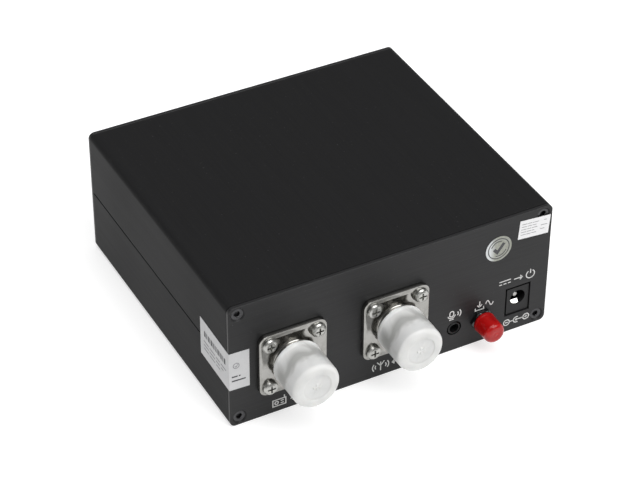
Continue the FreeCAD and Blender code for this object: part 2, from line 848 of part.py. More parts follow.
def coax_socket(name, x):
    """Flanged socket, its insulator, centre contact and dust cap, all on one axis along Y."""
    shell_node = body(name + "_socket")
    flange = sketch_on(shell_node, name + "_flange", "XZ_Plane")
    half = S.flange_size / 2
    draw_rectangle(flange, -half, half, -half, half)
    draw_circle(flange, 0, 0, S.dielectric_rad)
    for side in SIDES:
        for level in SIDES:
            draw_circle(flange, S.screw_spacing / 2 * side, S.screw_spacing / 2 * level,
                        S.flange_hole_rad)
    pad(shell_node, flange, S.flange_thick)
    corners = [(sx * half.value, sz * half.value) for sx in SIDES for sz in SIDES]
    dress(shell_node, "Fillet", name + "_flange_corners", S.flange_corner,
          lambda edge: any(runs_along_y(edge, cx, cz) for cx, cz in corners))
    tip = -(S.flange_thick + S.barrel_length)
    barrel = sketch_on(shell_node, name + "_barrel", "XY_Plane")
    draw_polygon(barrel, [
        (S.dielectric_rad, S.boss_length),
        (S.boss_rad, S.boss_length),
        (S.boss_rad, -(S.flange_thick / 2)),
        (S.barrel_rad, -(S.flange_thick / 2)),
        (S.barrel_rad, tip + S.barrel_bevel),
        (S.barrel_rad - S.barrel_bevel, tip),
        (S.mouth_rad, tip),
        (S.mouth_rad, tip + S.mouth_deep),
        (S.dielectric_rad, tip + S.mouth_deep),
    ])
    revolve(shell_node, barrel)
    notch = sketch_on(shell_node, name + "_rim_notch", "XZ_Plane", -tip)
    draw_rectangle(notch, -(S.rim_notch / 2), S.rim_notch / 2, S.mouth_rad - MEET, S.barrel_rad + MEET)
    first = pocket(shell_node, notch, S.rim_notch_deep)
    ring_pattern(shell_node, [first], RIM_NOTCHES)

    insulator = body(name + "_insulator")
    sleeve = sketch_on(insulator, name + "_insulator_profile", "XY_Plane")
    rear = S.insulator_end
    draw_polygon(sleeve, [
        (S.contact_rad, tip + S.mouth_deep),
        (S.dielectric_rad, tip + S.mouth_deep),
        (S.dielectric_rad, rear),
        (S.contact_rad, rear),
    ])
    revolve(insulator, sleeve)

    contact = body(name + "_contact")
    profile = sketch_on(contact, name + "_contact_profile", "XY_Plane")
    front = tip + S.mouth_deep
    draw_polygon(profile, [
        (0.0, front + S.contact_bore_deep),
        (S.contact_bore_rad, front + S.contact_bore_deep),
        (S.contact_bore_rad, front),
        (S.contact_rad, front),
        (S.contact_rad, rear),
        (S.cup_rad, rear),
        (S.cup_rad, S.cup_end),
        (S.cup_bore_rad, S.cup_end),
        (S.cup_bore_rad, S.cup_end - S.cup_bore_deep),
        (0.0, S.cup_end - S.cup_bore_deep),
    ])
    revolve(contact, profile)
    across, along = S.contact_slit / 2, S.contact_rad + MEET
    for turned, (half_x, half_z) in enumerate(((along, across), (across, along))):
        slit = sketch_on(contact, f"{name}_contact_slit_{turned}", "XZ_Plane", -front)
        draw_rectangle(slit, -half_x, half_x, -half_z, half_z)
        pocket(contact, slit, S.contact_slit_deep)

    cap = body(name + "_cap")
    profile = sketch_on(cap, name + "_cap_profile", "XY_Plane")
    rim = -(S.flange_thick + S.cap_rim_gap)
    end = rim - S.cap_length
    draw_polygon(profile, [
        (0.0, end),
        (S.cap_tip_rad, end),
        (S.cap_rim_rad, rim),
        (S.cap_bore_rad, rim),
        (S.cap_bore_rad, end + S.cap_end_thick),
        (0.0, end + S.cap_end_thick),
    ])
    revolve(cap, profile)
    dress(cap, "Fillet", name + "_cap_edge", S.cap_edge_rad, lambda edge: is_ring(edge, end.value))

    for owner in (shell_node, insulator, contact, cap):
        move(owner, x, face_y, S.socket_z)
        register(owner.Name, owner)


def flange_fasteners():
    """Pan-head screws through each flange, and their nuts behind the panel."""
    screw = body("flange_screw")
    profile = sketch_on(screw, "flange_screw_profile", "XY_Plane")
    under_head = -S.flange_thick
    point_start = under_head + S.flange_screw_length - S.flange_screw_point
    draw_polygon(profile, [
        (0.0, under_head - S.flange_head_high),
        *[(S.flange_head_rad * reach, under_head - S.flange_head_high * rise) for reach, rise in PAN_HEAD],
        (S.flange_screw_rad, under_head),
        (S.flange_screw_rad, point_start),
        (S.flange_screw_rad - S.flange_screw_point, under_head + S.flange_screw_length),
        (0.0, under_head + S.flange_screw_length),
    ])
    revolve(screw, profile)
    along, across = S.cross_length / 2, S.cross_width / 2
    for turned, (half_x, half_z) in enumerate(((along, across), (across, along))):
        recess = sketch_on(screw, f"flange_screw_cross_{turned}", "XZ_Plane",
                           S.flange_thick + S.flange_head_high)
        draw_rectangle(recess, -half_x, half_x, -half_z, half_z)
        pocket(screw, recess, S.cross_deep)

    nut_bar = hexagon("nut_bar", "y", (0, 0, 0), S.nut_flats, S.nut_thick)
    nut_bore = rod("nut_bore", "y", (0, -PAST, 0), S.flange_screw_rad + S.thread_spare,
                   S.nut_thick + 2 * PAST)
    nut = cut("flange_nut", nut_bar, nut_bore)
    for name, x in (("radio", S.radio_x), ("antenna", S.antenna_x)):
        spots = []
        for side in SIDES:
            for level in SIDES:
                spots.append((x + S.screw_spacing / 2 * side, S.socket_z + S.screw_spacing / 2 * level))
        register(name + "_socket_screws",
                 copies(name + "_socket_screws", screw, [(sx, face_y, sz) for sx, sz in spots]))
        register(name + "_socket_nuts",
                 copies(name + "_socket_nuts", nut, [(sx, inner_face_y, sz) for sx, sz in spots]))


# ------------------------------------------------------------------ receiver socket


def sdr_port():
    """Small threaded socket on the board, its contact, nut and dust cap."""
    socket = body("sdr_socket")
    block_front = S.panel_thick
    block_back = block_front + S.sdr_block_deep
    block = sketch_on(socket, "sdr_block", "XZ_Plane", -block_front)
    half = S.sdr_block / 2
    draw_rectangle(block, -half, half, board_top - S.sdr_z, half)
    draw_circle(block, 0, 0, S.sdr_dielectric_rad)
    pad(socket, block, block_back - block_front, backwards=True)
    barrel = sketch_on(socket, "sdr_barrel", "XY_Plane")
    tip = -S.sdr_reach
    draw_polygon(barrel, [
        (S.sdr_dielectric_rad, block_front + MEET),
        (S.sdr_neck_rad, block_front + MEET),
        (S.sdr_neck_rad, block_front),
        (S.sdr_thread_rad, block_front),
        (S.sdr_thread_rad, tip + S.sdr_bevel),
        (S.sdr_thread_rad - S.sdr_bevel, tip),
        (S.sdr_mouth_rad, tip),
        (S.sdr_mouth_rad, tip + S.sdr_mouth_deep),
        (S.sdr_dielectric_rad, tip + S.sdr_mouth_deep),
    ])
    revolve(socket, barrel)
    legs = [(side, depth) for depth in (S.sdr_leg_front, S.sdr_leg_back) for side in SIDES]
    for index, (side, depth) in enumerate(legs):
        leg = sketch_on(socket, f"sdr_leg_{index}", "XY_Plane", board_top - S.sdr_z + MEET)
        x, y = (half - S.sdr_leg_inset) * side, block_front + depth
        draw_circle(leg, x, y, S.pin_rad)
        pad(socket, leg, board_top - pin_low + MEET, backwards=True)
        board_pins.append((S.sdr_x + x, face_y + y))

    insulator = body("sdr_insulator")
    sleeve = sketch_on(insulator, "sdr_insulator_profile", "XY_Plane")
    draw_polygon(sleeve, [
        (S.sdr_contact_rad, tip + S.sdr_mouth_deep),
        (S.sdr_dielectric_rad, tip + S.sdr_mouth_deep),
        (S.sdr_dielectric_rad, block_back),
        (S.sdr_contact_rad, block_back),
    ])
    revolve(insulator, sleeve)

    contact = body("sdr_contact")
    profile = sketch_on(contact, "sdr_contact_profile", "XY_Plane")
    front = tip + S.sdr_contact_recess
    contact_end = block_back + S.sdr_tail_reach
    draw_polygon(profile, [
        (0.0, front + S.sdr_bore_deep),
        (S.sdr_bore_rad, front + S.sdr_bore_deep),
        (S.sdr_bore_rad, front),
        (S.sdr_contact_rad, front),
        (S.sdr_contact_rad, contact_end),
        (0.0, contact_end),
    ])
    revolve(contact, profile)
    tail = sketch_on(contact, "sdr_contact_tail", "XY_Plane")
    tail_y = contact_end - S.pin_rad
    draw_circle(tail, 0, tail_y, S.pin_rad)
    pad(contact, tail, S.sdr_z - pin_low, backwards=True)
    board_pins.append((S.sdr_x, face_y + tail_y))

    nut_bar = hexagon("sdr_nut_bar", "y", (S.sdr_x, face_y - S.sdr_nut_thick, S.sdr_z),
                      S.sdr_nut_flats, S.sdr_nut_thick)
    nut_bore = rod("sdr_nut_bore", "y", (S.sdr_x, face_y - S.sdr_nut_thick - PAST, S.sdr_z),
                   S.sdr_thread_rad + S.thread_spare, S.sdr_nut_thick + 2 * PAST)
    register("sdr_nut", cut("sdr_nut", nut_bar, nut_bore))

    cap = body("sdr_cap")
    profile = sketch_on(cap, "sdr_cap_profile", "XY_Plane")
    rim = -S.sdr_cap_gap
    end = rim - S.sdr_cap_length
    draw_polygon(profile, [
        (0.0, end),
        (S.sdr_cap_tip_rad, end),
        (S.sdr_cap_rim_rad, rim),
        (S.sdr_cap_bore_rad, rim),
        (S.sdr_cap_bore_rad, end + S.sdr_cap_end_thick),
        (0.0, end + S.sdr_cap_end_thick),
    ])
    revolve(cap, profile)
    dress(cap, "Fillet", "sdr_cap_edge", S.sdr_cap_edge_rad, lambda edge: is_ring(edge, end.value))

    for owner in (socket, insulator, contact, cap):
        move(owner, S.sdr_x, face_y, S.sdr_z)
        register(owner.Name, owner)


# ------------------------------------------------------------------ jacks


def ptt_jack():
    """Moulded 3.5 mm jack with its nose in the panel and its spring contacts."""
    half = S.ptt_width / 2
    front = inner_face_y + S.ptt_setback
    back = front + S.ptt_depth
    top = S.ptt_z + S.ptt_top
    block = box("ptt_block", (S.ptt_x - half, S.ptt_x + half), (front, back), (board_top, top))
    nose = rod("ptt_nose", "y", (S.ptt_x, face_y, S.ptt_z), S.ptt_nose_rad, front - face_y + MEET)
    bore = rod("ptt_bore", "y", (S.ptt_x, face_y - PAST, S.ptt_z), S.ptt_bore_rad,
               S.ptt_depth + S.panel_thick + 2 * PAST)
    slot_half = S.ptt_slot_width / 2
    slot = box("ptt_slot", (S.ptt_x - slot_half, S.ptt_x + slot_half),
               (front + S.ptt_slot_start, back), (S.ptt_z, top))
    solid = fuse("ptt_solid", block, nose)
    register("ptt_jack_housing", cut("ptt_jack_housing", solid, bore, slot))

    leaf_half = S.ptt_leaf_width / 2
    tail_half = S.ptt_tail_width / 2
    leaf_low = S.ptt_z + S.ptt_leaf_rise
    leaf_high = leaf_low + S.leaf_thick
    tail_back = back + S.leaf_thick + MEET
    leaf = box("ptt_leaf", (S.ptt_x - leaf_half, S.ptt_x + leaf_half),
               (front + S.ptt_leaf_start, tail_back), (leaf_low, leaf_high))
    tail = box("ptt_tail", (S.ptt_x - tail_half, S.ptt_x + tail_half),
               (tail_back - S.leaf_thick, tail_back), (pin_low, leaf_high))
    parts = [fuse("ptt_tip_spring", leaf, tail)]
    board_pins.append((S.ptt_x, tail_back - S.leaf_thick / 2))
    for side in SIDES:
        for index, depth in enumerate(PTT_LEG_DEPTHS):
            x = S.ptt_x + (half + S.ptt_leg_gap) * side
            leg = board_pin(f"ptt_leg_{side}_{index}", x, front + depth, board_top + S.ptt_leg_high)
            parts.append(leg)
    register("ptt_jack_contacts", group("ptt_jack_contacts", parts))


def dc_jack():
    """Supply jack: moulded housing, centre pin and the spring that bears on the plug's sleeve."""
    half = S.dc_width / 2
    front = face_y + S.dc_recess
    step = front + S.dc_face_depth
    back = front + S.dc_depth
    face = box("dc_face", (S.dc_x - half, S.dc_x + half), (front, step),
               (board_top, board_top + S.dc_height))
    rear = box("dc_rear", (S.dc_x - half, S.dc_x + half), (step - MEET, back), (board_top, S.dc_z))
    crown = rod("dc_crown", "y", (S.dc_x, step - MEET, S.dc_z), half, back - step + MEET)
    bore = rod("dc_bore", "y", (S.dc_x, front - PAST, S.dc_z), S.dc_bore_rad, S.dc_bore_deep + PAST)
    stem_hole = rod("dc_stem_hole", "y", (S.dc_x, front, S.dc_z), S.dc_stem_rad, S.dc_depth + PAST)
    seat = box("dc_spring_seat", (S.dc_x - S.dc_seat_left, S.dc_x + S.dc_seat_right),
               (front + S.dc_seat_start, back + PAST), (board_top - PAST, S.dc_z - S.dc_seat_drop))
    solid = fuse("dc_solid", face, rear, crown)
    register("dc_jack_housing", cut("dc_jack_housing", solid, bore, stem_hole, seat))

    pin = body("dc_jack_pin")
    profile = sketch_on(pin, "dc_pin_profile", "XY_Plane")
    shoulder = S.dc_bore_deep - S.dc_pin_recess
    stem_end = S.dc_depth + S.dc_stem_reach - S.dc_pin_recess
    draw_polygon(profile, [
        (0.0, 0.0),
        (S.dc_pin_rad - S.dc_pin_bevel, 0.0),
        (S.dc_pin_rad, S.dc_pin_bevel),
        (S.dc_pin_rad, shoulder),
        (S.dc_stem_rad, shoulder),
        (S.dc_stem_rad, stem_end),
        (0.0, stem_end),
    ])
    revolve(pin, profile)
    leg = sketch_on(pin, "dc_pin_leg", "XY_Plane")
    leg_half = S.dc_leg_width / 2
    draw_rectangle(leg, -leg_half, leg_half, stem_end - S.dc_leg_thick, stem_end)
    pad(pin, leg, S.dc_z - pin_low, backwards=True)
    pin_front = front + S.dc_pin_recess
    register("dc_jack_pin", move(pin, S.dc_x, pin_front, S.dc_z))
    board_pins.append((S.dc_x, pin_front + stem_end - S.dc_leg_thick / 2))

    spring = body("dc_jack_spring")
    profile = sketch_on(spring, "dc_leaf_profile", "YZ_Plane", -S.dc_leaf_left)
    crest = [
        (S.dc_leaf_start, -S.dc_leaf_dip),
        (S.dc_leaf_crest, -S.dc_crest_drop),
        (S.dc_leaf_level, -S.dc_leaf_drop),
        (S.dc_leaf_end, -S.dc_leaf_drop),
    ]
    under = [(y, z - S.dc_leaf_thick) for y, z in reversed(crest)]
    draw_polygon(profile, crest + under)
    pad(spring, profile, S.dc_leaf_left + S.dc_leaf_right)
    foot = sketch_on(spring, "dc_leaf_foot", "XY_Plane", -S.dc_leaf_drop)
    draw_rectangle(foot, -leg_half, leg_half, S.dc_leaf_end - S.dc_foot_thick, S.dc_leaf_end)
    pad(spring, foot, S.dc_z - S.dc_leaf_drop - pin_low, backwards=True)
    register("dc_jack_spring", move(spring, S.dc_x, front, S.dc_z))
    board_pins.append((S.dc_x, front + S.dc_leaf_end - S.dc_foot_thick / 2))


# ------------------------------------------------------------------ relays


def relay_cover(name, x, y):
    """Box without a floor, with rounded upright and top edges."""
    half_x, half_y = S.relay_width / 2, S.relay_depth / 2
    wall = S.relay_wall
    roof = board_top + S.relay_height
    outer = box(name + "_outer", (x - half_x, x + half_x), (y - half_y, y + half_y), (board_top, roof))
    inner = box(name + "_inner", (x - half_x + wall, x + half_x - wall),
                (y - half_y + wall, y + half_y - wall), (board_top - PAST, roof - wall))
    rounded = doc.addObject("Part::Fillet", name + "_round")
    rounded.Base = outer
    doc.recompute()
    radius = S.relay_edge_rad.value
    floor_z = board_top.value
    wanted = []
    for index, edge in enumerate(outer.Shape.Edges, start=1):
        if not all(math.isclose(vertex.Point.z, floor_z, abs_tol=1e-3) for vertex in edge.Vertexes):
            wanted.append((index, radius, radius))
    rounded.Edges = wanted
    register(name, cut(name, rounded, inner))


def relay_magnet(name, x, y):
    """Iron yoke with its core and pole face, and the wound bobbin on that core."""
    deck = board_top + S.relay_deck
    pole_z = board_top + S.relay_pole_rise
    yoke_front = x + S.yoke_x
    yoke_back = yoke_front + S.yoke_thick
    across = (y - S.yoke_width / 2, y + S.yoke_width / 2)
    foot = box(name + "_yoke_foot", (x - S.yoke_front, yoke_back), across, (deck, deck + S.yoke_thick))
    upright = box(name + "_yoke_upright", (yoke_front, yoke_back), across, (deck, pole_z))
    pole_low = pole_z - S.pole_drop - S.pole_thick
    core = rod(name + "_core", "z", (x, y, deck + MEET), S.relay_core_rad, pole_low - deck)
    pole = rod(name + "_pole", "z", (x, y, pole_low), S.pole_rad, S.pole_thick)
    register(name + "_yoke", fuse(name + "_yoke", foot, upright, core, pole))

    low, high = deck + S.spool_rise, pole_z - S.spool_drop
    spool = rod(name + "_spool", "z", (x, y, low), S.spool_rad, high - low)
    rims = []
    for index, level in enumerate((low, high - S.spool_rim_thick)):
        rims.append(rod(f"{name}_rim_{index}", "z", (x, y, level), S.spool_rim_rad, S.spool_rim_thick))
    hole = rod(name + "_spool_hole", "z", (x, y, low - PAST), S.spool_hole_rad, high - low + 2 * PAST)
    bobbin = cut(name + "_bobbin", fuse(name + "_bobbin_solid", spool, *rims), hole)
    wound_low = low + S.spool_rim_thick
    wound_high = high - S.spool_rim_thick
    wound = rod(name + "_wound", "z", (x, y, wound_low), S.wound_rad, wound_high - wound_low)
    wound_hole = rod(name + "_wound_hole", "z", (x, y, low), S.spool_rad, high - low)
    winding = cut(name + "_winding", wound, wound_hole)
    register(name + "_coil", group(name + "_coil", [bobbin, winding]))


def relay_contacts(name, x, y):
    """Coil and common pins, and the two fixed blades that the moving rivet lies between."""
    deck = board_top + S.relay_deck
    arm_z = board_top + S.relay_pole_rise + S.armature_rest
    terminals = []
    for key in ("coil_a", "coil_b", "common"):
        dx, dy = RELAY_PIN_PLACES[key]
        terminals.append(board_pin(f"{name}_{key}", x + dx, y + dy, deck + S.relay_pin_proud))
    lift = S.armature_reach * math.tan(math.radians(S.armature_gap_deg.value))
    blade = S.contact_blade
    contacts = {
        "opened": (arm_z + S.contact_rivet_low - S.contact_spare,
                   (y - S.contact_near, y + S.contact_far)),
        "closed": (arm_z + lift + S.contact_rivet_high + S.contact_spare + blade,
                   (y - S.contact_far, y + S.contact_near)),
    }
    blade_end = x + S.yoke_x + S.armature_pivot - S.armature_reach + S.armature_overhang
    for key, (level, across) in contacts.items():
        dx, dy = RELAY_PIN_PLACES[key]
        post = board_pin(f"{name}_{key}", x + dx, y + dy, level)
        strip = box(f"{name}_{key}_blade", (x + dx - S.pin_rad, blade_end), across, (level - blade, level))
        terminals.append(fuse(f"{name}_{key}_contact", post, strip))
    register(name + "_terminals", group(name + "_terminals", terminals))


def relay_armature(name, x, y):
    """Iron plate, leaf spring and contact rivet, resting tilted on the yoke's top edge."""
    iron_half = S.armature_iron_width / 2
    leaf_half = S.armature_leaf_width / 2
    iron_top = S.armature_iron_thick
    iron = box(name + "_iron", (-S.armature_iron_far, -S.armature_iron_near), (-iron_half, iron_half),
               (0.0, iron_top))
    leaf = box(name + "_leaf", (-(S.armature_reach + S.armature_overhang), -S.armature_leaf_near),
               (-leaf_half, leaf_half), (iron_top, iron_top + S.armature_leaf_thick))
    rivet = rod(name + "_rivet", "z", (-S.armature_reach, 0.0, S.contact_rivet_low),
                S.contact_rivet_rad, S.contact_rivet_high - S.contact_rivet_low)
    swung = group(name, [iron, fuse(name + "_moving_contact", leaf, rivet)])
    swung.Placement = FreeCAD.Placement(Vector(), Rotation(Vector(0, 1, 0), S.armature_gap_deg.value))
    pole_z = board_top + S.relay_pole_rise
    register(name, move(swung, x + S.yoke_x + S.armature_pivot, y, pole_z + S.armature_rest))


def relay(name, x, y):
    """Open-frame change-over relay under a cover."""
    relay_cover(name + "_cover", x, y)
    half_x = S.relay_width / 2 - S.relay_wall
    half_y = S.relay_depth / 2 - S.relay_wall
    plate = box(name + "_base_plate", (x - half_x, x + half_x), (y - half_y, y + half_y),
                (board_top, board_top + S.relay_deck))
    bores = []
    for key, (dx, dy) in RELAY_PIN_PLACES.items():
        bores.append(rod(f"{name}_bore_{key}", "z", (x + dx, y + dy, board_top - PAST), S.pin_rad,
                         S.relay_deck + 2 * PAST))
    register(name + "_base", cut(name + "_base", plate, *bores))
    relay_magnet(name, x, y)
    relay_contacts(name, x, y)
    relay_armature(name + "_armature", x, y)


# ------------------------------------------------------------------ leads, ring core, board parts


def bent_lead(node, x, y_start, z_start, y_down, z_end):
    """A round lead: along +Y, one quarter bend, then straight down."""
    bend = S.lead_bend.value
    corner = Vector(0, 0, (z_start - z_end).value)
    start = corner - Vector(0, (y_down - y_start).value, 0)
    bend_in = corner - Vector(0, bend, 0)
    bend_out = corner - Vector(0, 0, bend)
    inset = bend * (1 - math.sin(math.pi / 4))
    middle = corner - Vector(0, inset, inset)
    end = Vector()
    route = Part.Wire([
        Part.LineSegment(start, bend_in).toShape(),
        Part.Arc(bend_in, middle, bend_out).toShape(),
        Part.LineSegment(bend_out, end).toShape(),
    ])
    section = Part.Wire(Part.Circle(start, Vector(0, 1, 0), S.lead_rad.value).toShape())
    lead = doc.addObject("Part::Feature", node)
    lead.Shape = route.makePipeShell([section], True, True)
    lead.Placement = FreeCAD.Placement(Vector(x.value, y_down.value, z_end.value), Rotation())
    expected = route.Length * math.pi * S.lead_rad.value ** 2
    print(node, "length", round(route.Length, 2), "bend radius", bend,
          "volume over section times length", round(lead.Shape.Volume / expected, 4))
    return register(node, lead)


def leads():
    """The centre-contact leads, and the ring core that the radio lead passes through."""
    start = face_y + S.cup_end - S.lead_seat
    y = face_y + S.cup_end + S.lead_run
    for name, x in (("radio", S.radio_x), ("antenna", S.antenna_x)):
        bent_lead(name + "_lead", x, start, S.socket_z, y, pin_low)
        board_leads.append((x, y))

    x = S.radio_x
    low = board_top + S.turn_wire + S.core_rise
    ring = rod("ring_outer", "z", (x, y, low), S.core_outer, S.core_height)
    hole = rod("ring_hole", "z", (x, y, low - PAST), S.core_inner, S.core_height + 2 * PAST)
    register("sensing_core", cut("sensing_core", ring, hole))
    wire = S.turn_wire
    gap = S.turn_gap
    outer = box("turn_outer", (S.core_inner - wire - gap, S.core_outer + wire + gap),
                (-(wire / 2), wire / 2), (-(wire + gap), S.core_height + wire + gap))
    inner = box("turn_inner", (S.core_inner - gap, S.core_outer + gap), (-wire, wire),
                (-gap, S.core_height + gap))
    turn = cut("sensing_turn", outer, inner)
    turns = []
    for index in range(SENSING_TURNS):
        link = doc.addObject("App::Link", f"sensing_turn_{index}")
        link.LinkedObject = turn
        link.LinkTransform = False
        around = Rotation(Vector(0, 0, 1), 360.0 * index / SENSING_TURNS)
        link.Placement = FreeCAD.Placement(Vector(), around)
        turns.append(move(link, x, y, low))
    register("sensing_winding", group("sensing_winding", turns))


def board_parts():
    """Capacitors, regulator, timing chip and small chip parts."""
    cans = []
    for index, (x, y) in enumerate(CAN_PLACES):
        x, y = as_size(x), as_size(y)
        can = rod(f"can_{index}", "z", (x, y, board_top + S.can_rise), S.can_rad, S.can_height)
        bead = rod(f"can_bead_{index}", "z", (x, y, board_top + S.can_bead_rise), S.can_bead_rad,
                   S.can_bead_high)
        pins = []
        for side in SIDES:
            pins.append(board_pin(f"can_pin_{index}_{side}", x + S.can_pin_x * side, y,
                                  board_top + S.can_pin_high))
        cans.append(fuse(f"can_whole_{index}", can, bead, *pins))
    register("supply_capacitors", group("supply_capacitors", cans))

    x, y = S.regulator_x, S.regulator_y
    half = S.regulator_width / 2
    low = board_top + S.regulator_rise
    tab_face = y + S.regulator_thick
    tab = box("regulator_tab", (x - half, x + half), (tab_face, tab_face + S.regulator_tab_thick),
              (low, board_top + S.regulator_tab_high))
    tab_hole = rod("regulator_tab_hole", "y", (x, tab_face - PAST, board_top + S.regulator_hole_high),
                   S.regulator_hole_rad, S.regulator_tab_thick + 2 * PAST)
    mould = box("regulator_mould", (x - half, x + half), (y, tab_face), (low, board_top + S.regulator_high))
    legs = []
    for step in REGULATOR_LEG_STEPS:
        legs.append(board_pin(f"regulator_leg_{step}", x + S.leg_pitch * step, y + S.regulator_thick / 2,
                              low + MEET))
    plate = cut("regulator_plate", tab, tab_hole)
    register("voltage_regulator", fuse("voltage_regulator", plate, mould, *legs))

    x, y = S.chip_x, S.chip_y
    chip = box("chip_body", (x - S.chip_length / 2, x + S.chip_length / 2),
               (y - S.chip_width / 2, y + S.chip_width / 2),
               (board_top + S.chip_rise, board_top + S.chip_high))
    legs = []
    for side in SIDES:
        for index, step in enumerate(CHIP_LEG_STEPS):
            legs.append(board_pin(f"chip_leg_{side}_{index}", x + S.leg_pitch * step,
                                  y + S.chip_leg_reach * side, board_top + S.chip_leg_high))
    register("timing_chip", group("timing_chip", [chip] + legs))

    pieces = []
    half_x, half_y = S.small_part_length / 2, S.small_part_width / 2
    for column in range(SMALL_PART_COLUMNS):
        for line in range(SMALL_PART_ROWS):
            x = S.small_part_x + S.small_part_pitch_x * column
            y = S.small_part_y + S.small_part_pitch_y * line
            high = S.small_part_high + S.small_part_step * ((column + line) % 2)
            pieces.append(box(f"chip_part_{column}_{line}", (x - half_x, x + half_x),
                              (y - half_y, y + half_y), (board_top, board_top + high)))
    register("chip_parts", group("chip_parts", pieces))


# ------------------------------------------------------------------ hidden panel


def lamp(node, x):
    """A 3 mm lamp in the panel, with its two legs bent down to the board."""
    back = half_shell - S.lamp_back
    reach = S.lamp_back + S.panel_thick + S.lamp_proud
    bulb = rod(node + "_bulb", "y", (x, back, S.lamp_z), S.lamp_rad, reach)
    dome = doc.addObject("Part::Sphere", node + "_dome")
    bind(dome, Radius=S.lamp_rad)
    move(dome, x, back + reach, S.lamp_z)
    rim = rod(node + "_rim", "y", (x, back, S.lamp_z), S.lamp_rim_rad, S.lamp_rim_thick)
    parts = [fuse(node + "_lens", bulb, dome, rim)]
    half = S.lamp_leg_width / 2
    leg_back = back - S.lamp_leg_reach
    for side in SIDES:
        leg_x = x + S.lamp_leg_x * side
        leg = box(f"{node}_leg_{side}", (leg_x - half, leg_x + half), (leg_back, back),
                  (S.lamp_z - half, S.lamp_z + half))
        drop = box(f"{node}_drop_{side}", (leg_x - half, leg_x + half),
                   (leg_back, leg_back + S.lamp_leg_width), (pin_low, S.lamp_z + half))
        parts.append(fuse(f"{node}_wire_{side}", leg, drop))
        board_pins.append((leg_x, leg_back + half))
    register(node, group(node, parts))


def power_switch():
    """Push switch on the board, its return spring, and the button that comes out of the panel."""
    x = S.button_x
    axis_z = board_top + S.button_rise
    half = S.switch_size / 2
    front = half_shell - S.switch_setback
    back = front - S.switch_depth
    stem_end = front - S.stem_inside
    outside = half_shell + S.panel_thick + S.button_proud
    body_box = box("switch_box", (x - half, x + half), (back, front), (board_top, axis_z + half))
    bore = rod("switch_bore", "y", (x, back + S.switch_wall, axis_z), S.stem_rad + S.stem_spare,
               S.switch_depth)
    case = cut("power_switch_case", body_box, bore)
    legs = []
    for side in SIDES:
        for index, depth in enumerate(SWITCH_LEG_DEPTHS):
            legs.append(board_pin(f"switch_leg_{side}_{index}", x + S.switch_leg_x * side, back + depth,
                                  board_top))
    register("power_switch", group("power_switch", [case] + legs))

    top_start = front + S.button_travel + S.button_clear
    plunger = rod("button_stem", "y", (x, stem_end, axis_z), S.stem_rad, top_start + MEET - stem_end)
    top = rod("button_top", "y", (x, top_start, axis_z), S.button_rad, outside - top_start)
    doc.recompute()
    rounded = doc.addObject("Part::Fillet", "button_round")
    rounded.Base = top
    radius = S.button_edge_rad.value
    rounded.Edges = [(index, radius, radius) for index, edge in enumerate(top.Shape.Edges, start=1)
                     if is_ring(edge, outside.value)]
    register("power_button", fuse("power_button", plunger, rounded))

    seat = back + S.switch_wall + S.spring_wire
    helix = doc.addObject("Part::Helix", "spring_path")
    length = stem_end - seat - S.spring_wire
    bind(helix, Radius=S.spring_rad, Height=length, Pitch=length / S.spring_turns.value)
    section = doc.addObject("Part::Circle", "spring_section")
    section.Placement = FreeCAD.Placement(Vector(), Rotation(Vector(1, 0, 0), 90))
    bind(section, Radius=S.spring_wire)
    section.setExpression("Placement.Base.x", S.spring_rad.text)
    wire = doc.addObject("Part::Sweep", "button_spring")
    wire.Sections = [section]
    wire.Spine = (helix, [])
    wire.Solid = True
    wire.Frenet = True
    wire.Placement = FreeCAD.Placement(Vector(), AXIS_TURN["y"])
    register("button_spring", move(wire, x, seat, axis_z))


# ------------------------------------------------------------------ labels and board


def seal_label(node):
    """A seal folded round the left front corner of the case; it climbs towards the back by a slope."""
    thick = S.label_thick
    edge = -half_width
    climb = math.tan(math.radians(S.seal_tilt_deg.value))
    owner = body(node)
    front = sketch_on(owner, node + "_front", "XZ_Plane", -face_y)
    end = edge + S.seal_on_face
    fall = S.seal_on_face * climb
    draw_polygon(front, [(edge, S.seal_low), (end, S.seal_low - fall), (end, S.seal_high - fall),
                         (edge, S.seal_high)])
    pad(owner, front, thick)
    rise = S.seal_on_side * climb
    start, stop = face_y - thick, face_y + S.seal_on_side
    wrap = sketch_on(owner, node + "_side", "YZ_Plane", edge)
    draw_polygon(wrap, [(start, S.seal_low), (stop, S.seal_low + rise), (stop, S.seal_high + rise),
                        (start, S.seal_high)])
    pad(owner, wrap, thick, backwards=True)
    register(node, owner)


def corner_label(node):
    """A paper label stuck flat on the connector panel, a little askew."""
    tilt = math.radians(S.corner_tilt_deg.value)
    along = S.corner_width / 2
    across = S.corner_height / 2
    corners = []
    for side, level in ((-1, -1), (1, -1), (1, 1), (-1, 1)):
        x = S.corner_x + along * side * math.cos(tilt) + across * level * math.sin(tilt)
        z = S.corner_z - along * side * math.sin(tilt) + across * level * math.cos(tilt)
        corners.append((x, z))
    owner = body(node)
    face = sketch_on(owner, node + "_face", "XZ_Plane", -face_y)
    draw_polygon(face, corners)
    pad(owner, face, S.label_thick)
    register(node, owner)


def labels():
    """Stuck-on labels: a seal round a vertical corner, a small flat label, and a round one."""
    seal_label("side_seal_label")
    corner_label("corner_label")
    sticker = rod("round_sticker", "y", (S.sticker_x, face_y - S.label_thick, S.sticker_z),
                  S.sticker_rad, S.label_thick)
    register("round_sticker", sticker)


